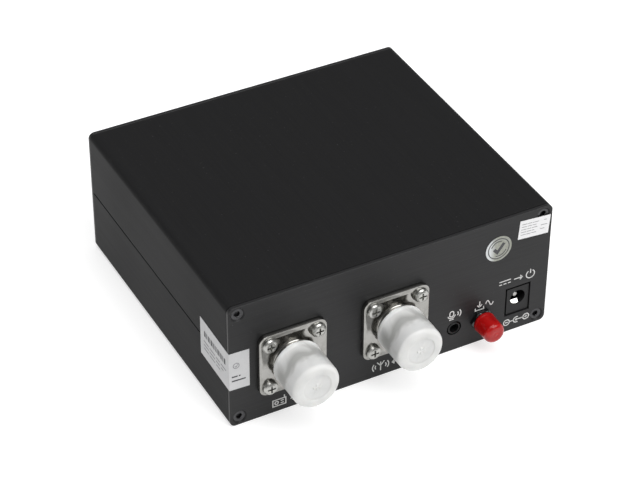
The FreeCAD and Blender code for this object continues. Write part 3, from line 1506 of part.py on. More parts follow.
def main_board():
    """The circuit board, drilled for every leg that passes through it."""
    half = S.board_width / 2
    plate = box("board_plate", (-half, half), (board_front, -board_front), (board_low, board_top))
    drills = []
    for index, (x, y) in enumerate(board_pins):
        drills.append(rod(f"drill_{index}", "z", (x, y, board_low - PAST), S.pin_hole_rad,
                          S.board_thick + 2 * PAST))
    for index, (x, y) in enumerate(board_leads):
        drills.append(rod(f"lead_drill_{index}", "z", (x, y, board_low - PAST),
                          S.lead_rad + S.lead_hole_spare, S.board_thick + 2 * PAST))
    register("main_board", cut("main_board", plate, *drills))


# ------------------------------------------------------------------ build and write

shell("lower_shell", upper=False)
shell("upper_shell", upper=True)
connector_panel()
front_panel()
panel_screws()
coax_socket("radio", S.radio_x)
coax_socket("antenna", S.antenna_x)
flange_fasteners()
sdr_port()
ptt_jack()
dc_jack()
relay("antenna_relay", S.antenna_relay_x, S.antenna_relay_y)
relay("sdr_relay", S.sdr_relay_x, S.sdr_relay_y)
leads()
board_parts()
lamp("power_lamp", S.power_lamp_x)
lamp("transmit_lamp", S.transmit_lamp_x)
power_switch()
labels()
main_board()
doc.recompute()

faults = []
for item in doc.Objects:
    if "Invalid" in item.State or "Error" in item.State:
        faults.append(f"{item.Name}: {item.State}")
for node, item in NODES.items():
    if item.Shape.isNull() or not item.Shape.isValid() or not item.Shape.Solids:
        faults.append(f"{node}: bad shape")
if faults:
    raise RuntimeError("; ".join(faults))

os.makedirs("parts", exist_ok=True)
for node, item in NODES.items():
    item.Shape.exportStep(f"parts/{node}.step")
print(len(NODES), "sub-parts written")
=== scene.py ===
"""Antenna sharing switch box: finishes, fine pieces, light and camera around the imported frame."""
import math

import bmesh
import bpy
from mathutils import Matrix, Vector


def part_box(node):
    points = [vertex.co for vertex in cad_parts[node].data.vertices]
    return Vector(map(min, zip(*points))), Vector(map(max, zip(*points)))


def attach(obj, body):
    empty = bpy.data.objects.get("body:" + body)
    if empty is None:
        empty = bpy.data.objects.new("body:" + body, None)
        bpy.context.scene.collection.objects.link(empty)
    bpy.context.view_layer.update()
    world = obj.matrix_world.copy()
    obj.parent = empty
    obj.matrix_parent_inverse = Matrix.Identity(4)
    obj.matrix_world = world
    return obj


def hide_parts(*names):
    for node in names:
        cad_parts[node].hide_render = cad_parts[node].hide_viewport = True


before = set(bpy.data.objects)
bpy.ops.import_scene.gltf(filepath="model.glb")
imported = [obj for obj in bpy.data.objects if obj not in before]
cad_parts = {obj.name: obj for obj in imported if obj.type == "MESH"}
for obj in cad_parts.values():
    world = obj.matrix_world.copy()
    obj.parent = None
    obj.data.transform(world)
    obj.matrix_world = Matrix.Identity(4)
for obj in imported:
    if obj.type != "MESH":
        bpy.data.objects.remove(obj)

MM = 0.001
TURN = 2 * math.pi
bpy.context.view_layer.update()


# ------------------------------------------------------------------ places from the frame


def low(node):
    """The corner of a node's box with its least X, Y and Z, in metres."""
    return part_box(node)[0]


def high(node):
    """The corner with its greatest X, Y and Z."""
    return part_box(node)[1]


def middle(node):
    """The middle of a node's box."""
    return (low(node) + high(node)) / 2


def half_width(node):
    """Half of a node's width along X, in millimetres."""
    return (high(node).x - low(node).x) / 2 / MM


# The outer faces of the two panels, then the case's height and half its width, in metres.
FACE_Y = low("connector_panel").y
REAR_Y = high("front_panel").y
CASE_HIGH = high("upper_shell").z
CASE_HALF = high("upper_shell").x


def behind_face(y):
    """How far a Y of the frame lies behind the connector panel's face, in millimetres."""
    return (y - FACE_Y) / MM


# ------------------------------------------------------------------ finishes

# Length of a lamp's lens, and the stretches along a white cap over which a painted glow pales its lip
# and a painted shade of the barrel inside fades out before its closed end, all in millimetres.
LENS_LENGTH = 7.0
CAP_LIP_GLOW = (-5.5, 1.0)
CAP_BARREL_SHADE = (-11.0, -8.0)


class Finish:
    """One procedural material, put together from layers of pattern in object space."""

    def __init__(self, name, colour, roughness, **sockets):
        self.material = bpy.data.materials.new(name)
        self.material.use_nodes = True
        self.material.diffuse_color = (*colour, 1.0)
        self.tree = self.material.node_tree
        self.tree.nodes.clear()
        output = self.tree.nodes.new("ShaderNodeOutputMaterial")
        self.shader = self.tree.nodes.new("ShaderNodeBsdfPrincipled")
        self.tree.links.new(self.shader.outputs[0], output.inputs["Surface"])
        self.shader.inputs["Base Color"].default_value = (*colour, 1.0)
        self.shader.inputs["Roughness"].default_value = roughness
        for key, value in sockets.items():
            self.shader.inputs[key.replace("_", " ").title().replace("Ior", "IOR")].default_value = value
        self.colour = colour
        self.roughness = roughness
        self.place = self.tree.nodes.new("ShaderNodeTexCoord").outputs["Object"]

    def add(self, kind, links=(), **settings):
        """A new node with its settings, and each input linked or given a value."""
        node = self.tree.nodes.new(kind)
        for key, value in settings.items():
            setattr(node, key, value)
        for socket, value in dict(links).items():
            target = node.inputs[socket]
            if isinstance(value, bpy.types.NodeSocket):
                self.tree.links.new(value, target)
            else:
                target.default_value = value
        return node

    def scaled(self, per_mm, shift=0.0):
        """The object's own coordinates, so many pattern cells to the millimetre along each axis."""
        links = {"Vector": self.place, "Scale": [cells / MM for cells in per_mm],
                 "Location": (shift, shift, shift)}
        return self.add("ShaderNodeMapping", links).outputs[0]

    def noise(self, per_mm, detail=2.0, shift=0.0, distortion=0.0):
        """Cloudy noise, mostly from 0.3 to 0.7."""
        links = {"Vector": self.scaled(per_mm, shift), "Scale": 1.0, "Detail": detail,
                 "Distortion": distortion}
        return self.add("ShaderNodeTexNoise", links).outputs["Fac"]

    def cells(self, per_mm, feature="F1"):
        """Distance to the points of a scattered pattern."""
        links = {"Vector": self.scaled(per_mm), "Scale": 1.0}
        return self.add("ShaderNodeTexVoronoi", links, feature=feature).outputs["Distance"]

    def bands(self, per_mm, axis, profile="SIN"):
        """Even bands that follow each other along an axis."""
        links = {"Vector": self.scaled((per_mm,) * 3), "Scale": 1.0}
        return self.add("ShaderNodeTexWave", links, bands_direction=axis,
                        wave_profile=profile).outputs["Fac"]

    def remap(self, value, start, stop, first=0.0, last=1.0):
        """A value stretched from one range to another, and held at its ends."""
        links = {"Value": value, 1: start, 2: stop, 3: first, 4: last}
        return self.add("ShaderNodeMapRange", links).outputs[0]

    def maths(self, operation, *values):
        """One sum on values or sockets."""
        return self.add("ShaderNodeMath", dict(enumerate(values)), operation=operation).outputs[0]

    def paint(self, factor, colour):
        """Lay another colour over what is there, by a factor."""
        base = self.shader.inputs["Base Color"]
        under = base.links[0].from_socket if base.links else (*self.colour, 1.0)
        mix = self.add("ShaderNodeMix", {0: factor, 6: under, 7: (*colour, 1.0)}, data_type="RGBA")
        self.tree.links.new(mix.outputs[2], base)
        return self

    def roughen(self, factor, amount):
        """Add to the roughness where the factor is high."""
        socket = self.shader.inputs["Roughness"]
        under = socket.links[0].from_socket if socket.links else self.roughness
        more = self.maths("MULTIPLY_ADD", factor, amount, under)
        self.tree.links.new(more, socket)
        return self

    def vary(self, socket, value):
        """Drive one more shader socket by a pattern."""
        self.tree.links.new(value, self.shader.inputs[socket])
        return self

    def emboss(self, factor, depth, strength=1.0):
        """Raise the surface by so many millimetres where the factor is high."""
        socket = self.shader.inputs["Normal"]
        links = {"Height": factor, "Distance": depth * MM, "Strength": strength}
        bump = self.add("ShaderNodeBump", links)
        if socket.links:
            self.tree.links.new(socket.links[0].from_socket, bump.inputs["Normal"])
        self.tree.links.new(bump.outputs[0], socket)
        return self

    def edge_wear(self, colour, corners, reach, cells):
        """Small bright rubs where the surface is near the given X and Z of a long edge."""
        split = self.add("ShaderNodeSeparateXYZ", {"Vector": self.place}).outputs
        side = self.maths("ABSOLUTE", split["X"])
        nearness = None
        for x, z in corners:
            away_x = self.maths("SUBTRACT", side, x)
            away_z = self.maths("SUBTRACT", split["Z"], z)
            away = self.maths("SQRT", self.maths("ADD", self.maths("MULTIPLY", away_x, away_x),
                                                 self.maths("MULTIPLY", away_z, away_z)))
            near = self.remap(away, 0.0, reach * MM, 1.0, 0.0)
            nearness = near if nearness is None else self.maths("MAXIMUM", nearness, near)
        rubs = self.remap(self.noise(cells, 4.0, 3.1), 0.52, 0.66)
        return self.paint(self.maths("MULTIPLY", nearness, rubs), colour)


def brushed(name, colour, light, roughness, along, marks, **sockets):
    """Anodised metal with fine lines along one axis, soft patches and a little dust."""
    finish = Finish(name, colour, roughness, **sockets)

    def lines(across, length):
        cells = [across, across, across]
        cells[along] = length
        return cells

    fine = finish.noise(lines(5.5, 0.05), 3.0)
    broad = finish.noise(lines(0.9, 0.012), 3.0, 1.7)
    patches = finish.noise((0.02, 0.02, 0.02), 2.0, 4.2)
    grit = finish.noise((9.0, 9.0, 9.0), 1.0, 7.0)
    specks = finish.noise((1.6, 1.6, 1.6), 1.0, 11.0)
    finish.paint(finish.remap(fine, 0.38, 0.68, 0.0, marks), light)
    finish.paint(finish.remap(broad, 0.45, 0.8, 0.0, 0.6 * marks), light)
    finish.paint(finish.remap(specks, 0.76, 0.8, 0.0, 0.7), [3.0 * part for part in light])
    finish.roughen(finish.remap(patches, 0.3, 0.7, -0.5, 0.5), 0.05)
    finish.roughen(finish.remap(broad, 0.3, 0.7, -0.5, 0.5), 0.1 * marks)
    finish.emboss(fine, 0.012 * marks, 0.7)
    finish.emboss(broad, 0.02 * marks, 0.4)
    finish.emboss(grit, 0.004, 0.6)
    return finish


def moulded(name, colour, light, roughness, grain=4.0, depth=0.01, **sockets):
    """Moulded plastic: a fine even grain, slow colour drift and slight waviness."""
    finish = Finish(name, colour, roughness, **sockets)
    speckle = finish.noise((grain,) * 3, 2.0)
    drift = finish.noise((0.12,) * 3, 2.0, 2.3)
    finish.paint(finish.remap(drift, 0.35, 0.7, 0.0, 0.8), light)
    finish.roughen(finish.remap(drift, 0.3, 0.7, -0.5, 0.5), 0.12)
    finish.emboss(speckle, depth, 0.6)
    finish.emboss(drift, 0.05, 0.35)
    return finish


def plated(name, colour, shade, roughness):
    """Bright plating: light tarnish in patches, hair scratches and turning lines."""
    finish = Finish(name, colour, roughness, metallic=1.0)
    tarnish = finish.noise((0.3,) * 3, 4.0, 5.0, 0.6)
    hairs = finish.noise((7.0, 0.6, 7.0), 2.0, 1.1, 1.5)
    grain = finish.noise((12.0,) * 3, 1.0, 8.0)
    finish.paint(finish.remap(tarnish, 0.45, 0.78, 0.0, 0.6), shade)
    finish.roughen(finish.remap(tarnish, 0.35, 0.8), 0.1)
    finish.emboss(hairs, 0.0016, 0.5)
    finish.emboss(grain, 0.001, 0.5)
    return finish


def paper(name, colour, shade):
    """Printed label stock: fibres, a faint mottle and a soft satin."""
    finish = Finish(name, colour, 0.5, coat_weight=0.15, coat_roughness=0.35)
    fibres = finish.noise((3.0, 3.0, 1.2), 5.0, 0.4, 1.0)
    mottle = finish.noise((0.25,) * 3, 2.0)
    finish.paint(finish.remap(fibres, 0.4, 0.75, 0.0, 0.35), shade)
    finish.paint(finish.remap(mottle, 0.45, 0.75, 0.0, 0.3), shade)
    finish.emboss(fibres, 0.012, 0.5)
    return finish


def wound(name, colour, dark, per_mm, axis):
    """Enamelled wire laid in close turns, with painted shade in the grooves between them."""
    finish = Finish(name, colour, 0.3, metallic=0.7, coat_weight=0.4)
    turns = finish.bands(per_mm, axis)
    wander = finish.noise((0.8,) * 3, 2.0)
    # Painted shade: the grooves between turns are painted dark.
    finish.paint(finish.remap(turns, 0.0, 0.45, 1.0, 0.0), dark)
    finish.paint(finish.remap(wander, 0.5, 0.8, 0.0, 0.5), dark)
    finish.emboss(turns, 0.08)
    return finish


def circuit(name):
    """Solder mask over copper tracks."""
    finish = Finish(name, (0.012, 0.085, 0.035), 0.32, coat_weight=0.5, coat_roughness=0.2)
    lanes = finish.cells((0.22, 0.22, 0.22), "F2")
    tracks = finish.remap(finish.bands(0.35, "DIAGONAL", "TRI"), 0.55, 0.62)
    pour = finish.remap(lanes, 0.5, 0.56)
    copper = finish.maths("MAXIMUM", tracks, pour)
    finish.paint(finish.maths("MULTIPLY", copper, 0.55), (0.03, 0.2, 0.07))
    finish.emboss(copper, 0.04)
    finish.emboss(finish.noise((6.0,) * 3, 2.0), 0.005, 0.5)
    return finish


def clear_lamp(name, colour, light):
    """Tinted lens with the flow lines of its moulding, and tinned legs behind it."""
    finish = Finish(name, colour, 0.12, ior=1.5, coat_weight=0.6)
    flow = finish.noise((0.6, 2.2, 0.6), 2.0, 0.0, 0.8)
    finish.paint(finish.remap(flow, 0.4, 0.7, 0.0, 0.6), light)
    along = finish.add("ShaderNodeSeparateXYZ", {"Vector": finish.place}).outputs["Y"]
    lens_start = high("power_lamp").y - LENS_LENGTH * MM
    legs = finish.remap(along, lens_start - 0.06 * MM, lens_start - 0.02 * MM, 1.0, 0.0)
    finish.paint(legs, (0.55, 0.55, 0.54))
    finish.roughen(finish.remap(flow, 0.3, 0.7), 0.08)
    finish.roughen(legs, 0.2)
    finish.vary("Metallic", finish.maths("MULTIPLY", legs, 0.9))
    finish.vary("Transmission Weight", finish.remap(legs, 0.0, 1.0, 0.45, 0.0))
    finish.emboss(flow, 0.01, 0.4)
    return finish


def white_cap_plastic(name):
    """Milky polythene: painted shade of the barrel greys the wall, a painted glow pales the lip; drag
    lines.
    """
    finish = Finish(name, (0.64, 0.64, 0.63), 0.36, subsurface_weight=0.85, subsurface_scale=0.0014,
                    coat_weight=0.1, coat_roughness=0.3)
    finish.shader.inputs["Subsurface Radius"].default_value = (1.0, 0.97, 0.93)
    along = finish.add("ShaderNodeSeparateXYZ", {"Vector": finish.place}).outputs["Y"]
    blotch = finish.noise((0.11,) * 3, 2.0, 9.0, 1.2)
    wander = finish.maths("MULTIPLY_ADD", blotch, 9.0 * MM, along)
    # Painted glow pales the free lip; painted shade greys the wall where the barrel lies inside.
    lip = finish.remap(wander, CAP_LIP_GLOW[0] * MM, CAP_LIP_GLOW[1] * MM)
    barrel_shade = finish.remap(wander, CAP_BARREL_SHADE[0] * MM, CAP_BARREL_SHADE[1] * MM)
    drag = finish.noise((1.6, 0.12, 1.6), 3.0, 0.5, 0.4)
    cloud = finish.noise((0.16,) * 3, 2.0, 6.0)
    scuffs = finish.noise((0.9, 4.0, 0.9), 4.0, 2.0, 1.4)
    finish.paint(finish.remap(cloud, 0.42, 0.72, 0.0, 0.6), (0.53, 0.535, 0.53))
    finish.paint(finish.remap(scuffs, 0.64, 0.8, 0.0, 0.35), (0.44, 0.45, 0.45))
    # Painted shade of the barrel inside, then the painted glow of the lip.
    finish.paint(barrel_shade, (0.37, 0.37, 0.36))
    finish.paint(lip, (0.84, 0.84, 0.825))
    finish.roughen(finish.remap(cloud, 0.3, 0.7, -0.5, 0.5), 0.12)
    finish.roughen(finish.remap(scuffs, 0.55, 0.75), 0.1)
    finish.emboss(drag, 0.03, 0.5)
    finish.emboss(finish.noise((5.0,) * 3, 2.0), 0.006, 0.5)
    return finish


def red_cap_plastic(name):
    """Glossy soft vinyl with slight orange peel and darker folds."""
    finish = Finish(name, (0.37, 0.003, 0.003), 0.3, coat_weight=0.45, coat_roughness=0.08,
                    specular_ior_level=0.16)
    peel = finish.noise((1.4,) * 3, 2.0, 0.3)
    cloud = finish.noise((0.3,) * 3, 2.0, 3.0)
    finish.paint(finish.remap(cloud, 0.4, 0.75, 0.0, 0.7), (0.24, 0.002, 0.003))
    finish.roughen(finish.remap(peel, 0.3, 0.7), 0.08)
    finish.emboss(peel, 0.03, 0.4)
    finish.emboss(finish.noise((8.0,) * 3, 1.0, 1.0), 0.003, 0.4)
    return finish


def foil(name):
    """Silver sticker foil with a fine diffraction weave, paler along its left edge."""
    finish = Finish(name, (0.3, 0.305, 0.27), 0.3, metallic=0.85)
    weave = finish.cells((1.3, 1.3, 1.3))
    crease = finish.noise((0.5,) * 3, 3.0, 4.0, 0.8)
    across = finish.add("ShaderNodeSeparateXYZ", {"Vector": finish.place}).outputs["X"]
    centre = middle("round_sticker").x
    pale = finish.remap(across, centre - 3.4 * MM, centre - 1.4 * MM, 0.85, 0.0)
    finish.paint(finish.remap(weave, 0.35, 0.7, 0.0, 0.5), (0.2, 0.21, 0.17))
    finish.paint(finish.remap(crease, 0.45, 0.75, 0.0, 0.5), (0.4, 0.41, 0.41))
    finish.paint(pale, (0.6, 0.62, 0.63))
    finish.roughen(finish.remap(crease, 0.3, 0.7), 0.2)
    finish.emboss(weave, 0.01, 0.5)
    finish.emboss(crease, 0.03, 0.5)
    return finish


def printed(name, colour, shade):
    """Screen-printed ink, a little uneven."""
    finish = Finish(name, colour, 0.55)
    thin = finish.noise((2.6,) * 3, 4.0, 1.0)
    finish.paint(finish.remap(thin, 0.48, 0.75, 0.0, 0.6), shade)
    finish.emboss(thin, 0.006, 0.6)
    return finish


case_black = brushed("black_anodised_case", (0.0125, 0.0125, 0.013), (0.0175, 0.0175, 0.018), 0.46, 1,
                     0.35, specular_ior_level=0.045)
case_black.edge_wear((0.03, 0.03, 0.03), ((CASE_HALF, CASE_HIGH),), 1.2, (0.9, 0.25, 0.9))
panel_black = brushed("black_anodised_panel", (0.01, 0.01, 0.0105), (0.018, 0.018, 0.019), 0.44, 0,
                      0.8, specular_ior_level=0.25)
panel_black.edge_wear((0.03, 0.03, 0.03), ((CASE_HALF, CASE_HIGH), (CASE_HALF, 0.0)), 1.2,
                      (0.9, 0.9, 0.9))

# Colour, colour of the tarnish, roughness.
PLATINGS = {
    "black_oxide_screw": ((0.075, 0.075, 0.078), (0.04, 0.04, 0.042), 0.28),
    "zinc_screw": ((0.46, 0.46, 0.44), (0.24, 0.235, 0.22), 0.25),
    "nickel_plate": ((0.34, 0.335, 0.32), (0.17, 0.165, 0.15), 0.13),
    "gold_plate": ((0.83, 0.6, 0.24), (0.62, 0.42, 0.16), 0.2),
    "silver_contact": ((0.52, 0.515, 0.5), (0.34, 0.325, 0.29), 0.26),
    "tinned_wire": ((0.68, 0.69, 0.7), (0.45, 0.45, 0.45), 0.32),
    "relay_iron": ((0.5, 0.5, 0.5), (0.32, 0.31, 0.3), 0.36),
    "spring_steel": ((0.58, 0.58, 0.58), (0.36, 0.36, 0.36), 0.26),
}

# Colour, colour it drifts to and roughness; where the grain isn't the usual one, how many to the
# millimetre and how high, in millimetres.
MOULDINGS = {
    "white_ptfe": ((0.82, 0.82, 0.8), (0.72, 0.72, 0.69), 0.42, 3.0, 0.008),
    "black_button": ((0.014, 0.014, 0.015), (0.026, 0.026, 0.027), 0.46, 3.0, 0.02),
    "ferrite": ((0.03, 0.032, 0.035), (0.055, 0.055, 0.058), 0.62, 5.0, 0.03),
    "capacitor_sleeve": ((0.012, 0.016, 0.05), (0.03, 0.035, 0.075), 0.3),
    "black_epoxy": ((0.013, 0.013, 0.014), (0.03, 0.03, 0.03), 0.55, 6.0, 0.02),
    "chip_ceramic": ((0.42, 0.34, 0.22), (0.6, 0.52, 0.38), 0.5, 6.0, 0.02),
    "relay_plastic": ((0.05, 0.055, 0.06), (0.08, 0.085, 0.09), 0.45),
    "relay_cover": ((0.02, 0.05, 0.16), (0.035, 0.08, 0.22), 0.35),
}

FINISHES = {
    "black_anodised_case": case_black,
    "black_anodised_panel": panel_black,
    "black_moulding": moulded("black_moulding", (0.006, 0.006, 0.0065), (0.01, 0.01, 0.0105), 0.36,
                              specular_ior_level=0.25),
    "copper_wire": wound("copper_wire", (0.52, 0.2, 0.08), (0.16, 0.05, 0.02), 3.2, "Z"),
    "green_board": circuit("green_board"),
    "green_lamp": clear_lamp("green_lamp", (0.03, 0.42, 0.08), (0.1, 0.62, 0.18)),
    "red_lamp": clear_lamp("red_lamp", (0.5, 0.02, 0.02), (0.7, 0.08, 0.06)),
    "white_label": paper("white_label", (0.72, 0.72, 0.725), (0.6, 0.6, 0.61)),
    "seal_label": paper("seal_label", (0.5, 0.5, 0.505), (0.4, 0.4, 0.41)),
    "silver_sticker": foil("silver_sticker"),
    "white_cap": white_cap_plastic("white_cap"),
    "red_cap": red_cap_plastic("red_cap"),
}
FINISHES.update({name: plated(name, *look) for name, look in PLATINGS.items()})
FINISHES.update({name: moulded(name, *look) for name, look in MOULDINGS.items()})
white_ink = printed("white_ink", (0.56, 0.56, 0.55), (0.38, 0.38, 0.38)).material
grey_ink = printed("grey_ink", (0.2, 0.2, 0.21), (0.4, 0.4, 0.41)).material
dark_ink = printed("dark_ink", (0.03, 0.03, 0.034), (0.12, 0.12, 0.12)).material


def finish_of(slot):
    """The material that stands for a slot of the record."""
    return FINISHES[slot].material


def dress_cad_nodes():
    """Every carried-over CAD node takes the finish named by its record slot."""
    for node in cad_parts.values():
        for index, kept in enumerate(node.material_slots):
            base = kept.material.name.split(".")[0] if kept.material else ""
            if base not in FINISHES:
                raise RuntimeError(f"{node.name} has an unknown slot {base}")
            node.material_slots[index].material = finish_of(base)


# ------------------------------------------------------------------ building pieces

# Share of a pitch that is flat at crest and root, and turns over which a thread runs out.
THREAD_FLAT = 0.14
THREAD_RUN_OUT = 0.6
# Sides of a hole in a plate, and of large, middling and small turned pieces.
HOLE_SIDES = 32
ROUND_LARGE = 96
ROUND_MIDDLE = 72
ROUND_SMALL = 64
# Height of printed ink, in millimetres.
INK_THICK = 0.03


def piece(name, bm, body, slot, nodes=(), at=(0.0, 0.0, 0.0), crease=35.0, ink=None):
    """A finished object from a bmesh whose points are millimetres from a place in the frame."""
    bmesh.ops.remove_doubles(bm, verts=bm.verts, dist=1e-5)
    bmesh.ops.recalc_face_normals(bm, faces=bm.faces)
    mesh = bpy.data.meshes.new(name)
    bm.to_mesh(mesh)
    bm.free()
    mesh.transform(Matrix.Scale(MM, 4))
    for polygon in mesh.polygons:
        polygon.use_smooth = True
    mesh.set_sharp_from_angle(angle=math.radians(crease))
    mesh.materials.append(ink or finish_of(slot))
    obj = bpy.data.objects.new(name, mesh)
    obj.location = Vector(at)
    bpy.context.scene.collection.objects.link(obj)
    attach(obj, body)
    if nodes:
        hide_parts(*nodes)
    return obj


def ridge(phase):
    """Height of a screw thread with flat crests and roots, 0 to 1, at a share of one pitch."""
    slope = 1.0 - abs(2.0 * (phase % 1.0) - 1.0)
    return min(1.0, max(0.0, (slope - THREAD_FLAT) / (1.0 - 2.0 * THREAD_FLAT)))


def at_angle(value, angle):
    """A number that may vary round the axis."""
    return value(angle) if callable(value) else value


def turned(bm, rows, segments, pitch=1.0, closed=True):
    """A solid about Y. Each row is (y, radius) or (y, radius, thread depth)."""
    rings = []
    for row in rows:
        y, radius, depth = (*row, 0.0)[:3]
        if radius == 0.0:
            rings.append([bm.verts.new((0.0, y, 0.0))])
            continue
        ring = []
        for index in range(segments):
            angle = TURN * index / segments
            along = at_angle(y, angle)
            reach = at_angle(radius, angle)
            if depth:
                reach += depth * ridge(along / pitch + index / segments)
            ring.append(bm.verts.new((reach * math.cos(angle), along, reach * math.sin(angle))))
        rings.append(ring)
    pairs = list(zip(rings, rings[1:]))
    if closed:
        pairs.append((rings[-1], rings[0]))
    for first, second in pairs:
        for index in range(segments):
            after = (index + 1) % segments
            corners = [first[index % len(first)], first[after % len(first)],
                       second[after % len(second)], second[index % len(second)]]
            corners = list(dict.fromkeys(corners))
            if len(corners) > 2:
                bm.faces.new(corners)


def hexagonal(flats, limit=1e9):
    """Reach of a hexagon's sides at an angle, with its corners turned down to a limit."""
    def reach(angle):
        off_middle = angle % (TURN / 6) - TURN / 12
        return min(limit, flats / 2 / math.cos(off_middle))
    return reach


def thread_rows(start, stop, minor, depth, pitch, steps=10):
    """Rows of a screw thread that fades out at each end."""
    count = round(abs(stop - start) / pitch * steps)
    rows = []
    for index in range(count + 1):
        share = index / count
        y = start + (stop - start) * share
        edge = min(share, 1.0 - share) * abs(stop - start)
        rows.append((y, minor, depth * min(1.0, edge / (pitch * THREAD_RUN_OUT))))
    return rows


def rounded_turn(y, radius, corner, steps):
    """Rows that round an edge off, from the wall (radius) to the face (y) in front of it."""
    rows = []
    for index in range(steps + 1):
        angle = math.pi / 2 * index / steps
        rows.append((y + corner * (1 - math.sin(angle)), radius - corner * (1 - math.cos(angle))))
    return rows


def outline_plate(bm, outline, holes, y_front, y_back, edge):
    """A flat plate in X and Z with round holes and softened front edges."""
    curve = bpy.data.curves.new("outline", "CURVE")
    curve.dimensions = "2D"
    curve.fill_mode = "BOTH"
    loops = [outline]
    for x, z, radius in holes:
        loops.append(circle(x, z, radius + edge, HOLE_SIDES))
    for loop in loops:
        spline = curve.splines.new("POLY")
        spline.points.add(len(loop) - 1)
        for point, (x, z) in zip(spline.points, loop):
            point.co = (x, z, 0.0, 1.0)
        spline.use_cyclic_u = True
    curve.extrude = abs(y_back - y_front) / 2 - edge
    curve.bevel_depth = edge
    curve.bevel_resolution = 1
    holder = bpy.data.objects.new("outline", curve)
    bpy.context.scene.collection.objects.link(holder)
    graph = bpy.context.evaluated_depsgraph_get()
    mesh = bpy.data.meshes.new_from_object(holder.evaluated_get(graph))
    upright = Matrix.Rotation(math.pi / 2, 4, "X")
    mesh.transform(Matrix.Translation((0.0, (y_front + y_back) / 2, 0.0)) @ upright)
    bm.from_mesh(mesh)
    bpy.data.objects.remove(holder)
    bpy.data.curves.remove(curve)
    bpy.data.meshes.remove(mesh)


def rounded_square(half, corner, steps=6):
    """Points round a square with rounded corners."""
    points = []
    for turn, (sx, sz) in enumerate(((1, 1), (-1, 1), (-1, -1), (1, -1))):
        for step in range(steps + 1):
            angle = math.pi / 2 * (turn + step / steps)
            points.append(((half - corner) * sx + corner * math.cos(angle),
                           (half - corner) * sz + corner * math.sin(angle)))
    return points


def pen(bm, points, width, surface, closed=False):
    """A raised stroke of ink along points on a flat surface."""
    count = len(points)
    spots = [Vector(point) for point in points]
    stations = []
    for index, spot in enumerate(spots):
        before = spots[index - 1] if closed or index else spot
        after = spots[(index + 1) % count] if closed or index < count - 1 else spot
        first = (spot - before).normalized() if (spot - before).length else (after - spot).normalized()
        second = (after - spot).normalized() if (after - spot).length else first
        normal = (first + second).normalized()
        normal = Vector((-normal.y, normal.x))
        spread = width / 2 / max(0.5, normal.dot(Vector((-second.y, second.x))))
        station = []
        for side, rise in ((1, 0.0), (-1, 0.0), (-1, INK_THICK), (1, INK_THICK)):
            flat = spot + normal * spread * side
            station.append(bm.verts.new(surface(flat.x, flat.y, rise)))
        stations.append(station)
    last = count if closed else count - 1
    for index in range(last):
        first, second = stations[index], stations[(index + 1) % count]
        for side in range(4):
            after = (side + 1) % 4
            bm.faces.new((first[side], first[after], second[after], second[side]))
    if not closed:
        bm.faces.new(stations[0])
        bm.faces.new(reversed(stations[-1]))


def arc(x, z, radius, start, stop, steps=14):
    """Points along part of a circle, angles in degrees."""
    angles = [math.radians(start + (stop - start) * step / steps) for step in range(steps + 1)]
    return [(x + radius * math.cos(angle), z + radius * math.sin(angle)) for angle in angles]


def circle(x, z, radius, steps):
    """Points round a full circle."""
    return arc(x, z, radius, 0, 360, steps)[:-1]


# ------------------------------------------------------------------ radio and antenna sockets

# All in millimetres.
EDGE_SOFT = 0.22
FLANGE_THICK = 2.0
FLANGE_CORNER = 3.0
FLANGE_BORE = 5.6
FLANGE_HOLE = 1.6
FLANGE_SCREW_HEAD = 2.8
BARREL_PITCH = 1.058
BARREL_MINOR = 7.3
BARREL_DEPTH = 0.55
BARREL_NECK = 0.7
BARREL_MOUTH = 6.4
BARREL_BACK = 6.2
# How far one turned piece is sunk into the plate it stands on.
SUNK = 0.3


def coax_socket(name):
    """Flange plate and threaded barrel, on the same axis as the CAD socket."""
    node, insulator, screws = name + "_socket", name + "_insulator", name + "_socket_screws"
    at = Vector((middle(node).x, FACE_Y, middle(node).z))
    tip = behind_face(low(node).y)
    rear = behind_face(high(node).y)
    seat = behind_face(low(insulator).y)
    bore = half_width(insulator)
    reach = half_width(screws) - FLANGE_SCREW_HEAD
    holes = [(reach * sx, reach * sz, FLANGE_HOLE) for sx in (-1, 1) for sz in (-1, 1)]
    holes.append((0.0, 0.0, FLANGE_BORE))
    bm = bmesh.new()
    outline_plate(bm, rounded_square(half_width(node) - EDGE_SOFT, FLANGE_CORNER - EDGE_SOFT), holes,
                  -FLANGE_THICK, 0.0, EDGE_SOFT)
    start = -FLANGE_THICK
    neck_end = start - BARREL_NECK
    rows = [(start + SUNK, FLANGE_BORE - 0.1), (start + SUNK, BARREL_MINOR + 0.2),
            (start, BARREL_MINOR + 0.15), (start - 0.15, BARREL_MINOR), (neck_end, BARREL_MINOR)]
    rows += thread_rows(neck_end - 0.05, tip + 0.55, BARREL_MINOR, BARREL_DEPTH, BARREL_PITCH)
    rows += [(tip + 0.3, BARREL_MINOR + 0.1), (tip, BARREL_MINOR - 0.2), (tip, BARREL_MOUTH + 0.2),
             (tip + 0.2, BARREL_MOUTH), (seat, BARREL_MOUTH), (seat, bore), (start + SUNK, bore)]
    turned(bm, rows, ROUND_LARGE, BARREL_PITCH)
    back = [(-0.4, bore), (rear, bore), (rear, BARREL_BACK - 0.2), (rear - 0.2, BARREL_BACK),
            (-0.4, BARREL_BACK)]
    turned(bm, back, ROUND_SMALL)
    return piece(name + "_socket_turned", bm, "case", "nickel_plate", [node], at)


# Wall, rolled end, lip, taper and floor of a cap, the radius and depth of its dish, and its gate mark.
WHITE_CAP = {"wall": 0.55, "roll": 1.7, "lip": 1.5, "taper": 0.2, "floor": 1.2, "dish": (5.2, 0.42),
             "gate": 1.6}
RED_CAP = {"wall": 0.85, "roll": 1.7, "lip": 1.1, "taper": 0.2, "floor": 0.8, "dish": (1.3, 0.08),
           "gate": 0.6}
LIP_STEP = 0.12
LIP_FALL = 0.3
WALL_STEPS = 12


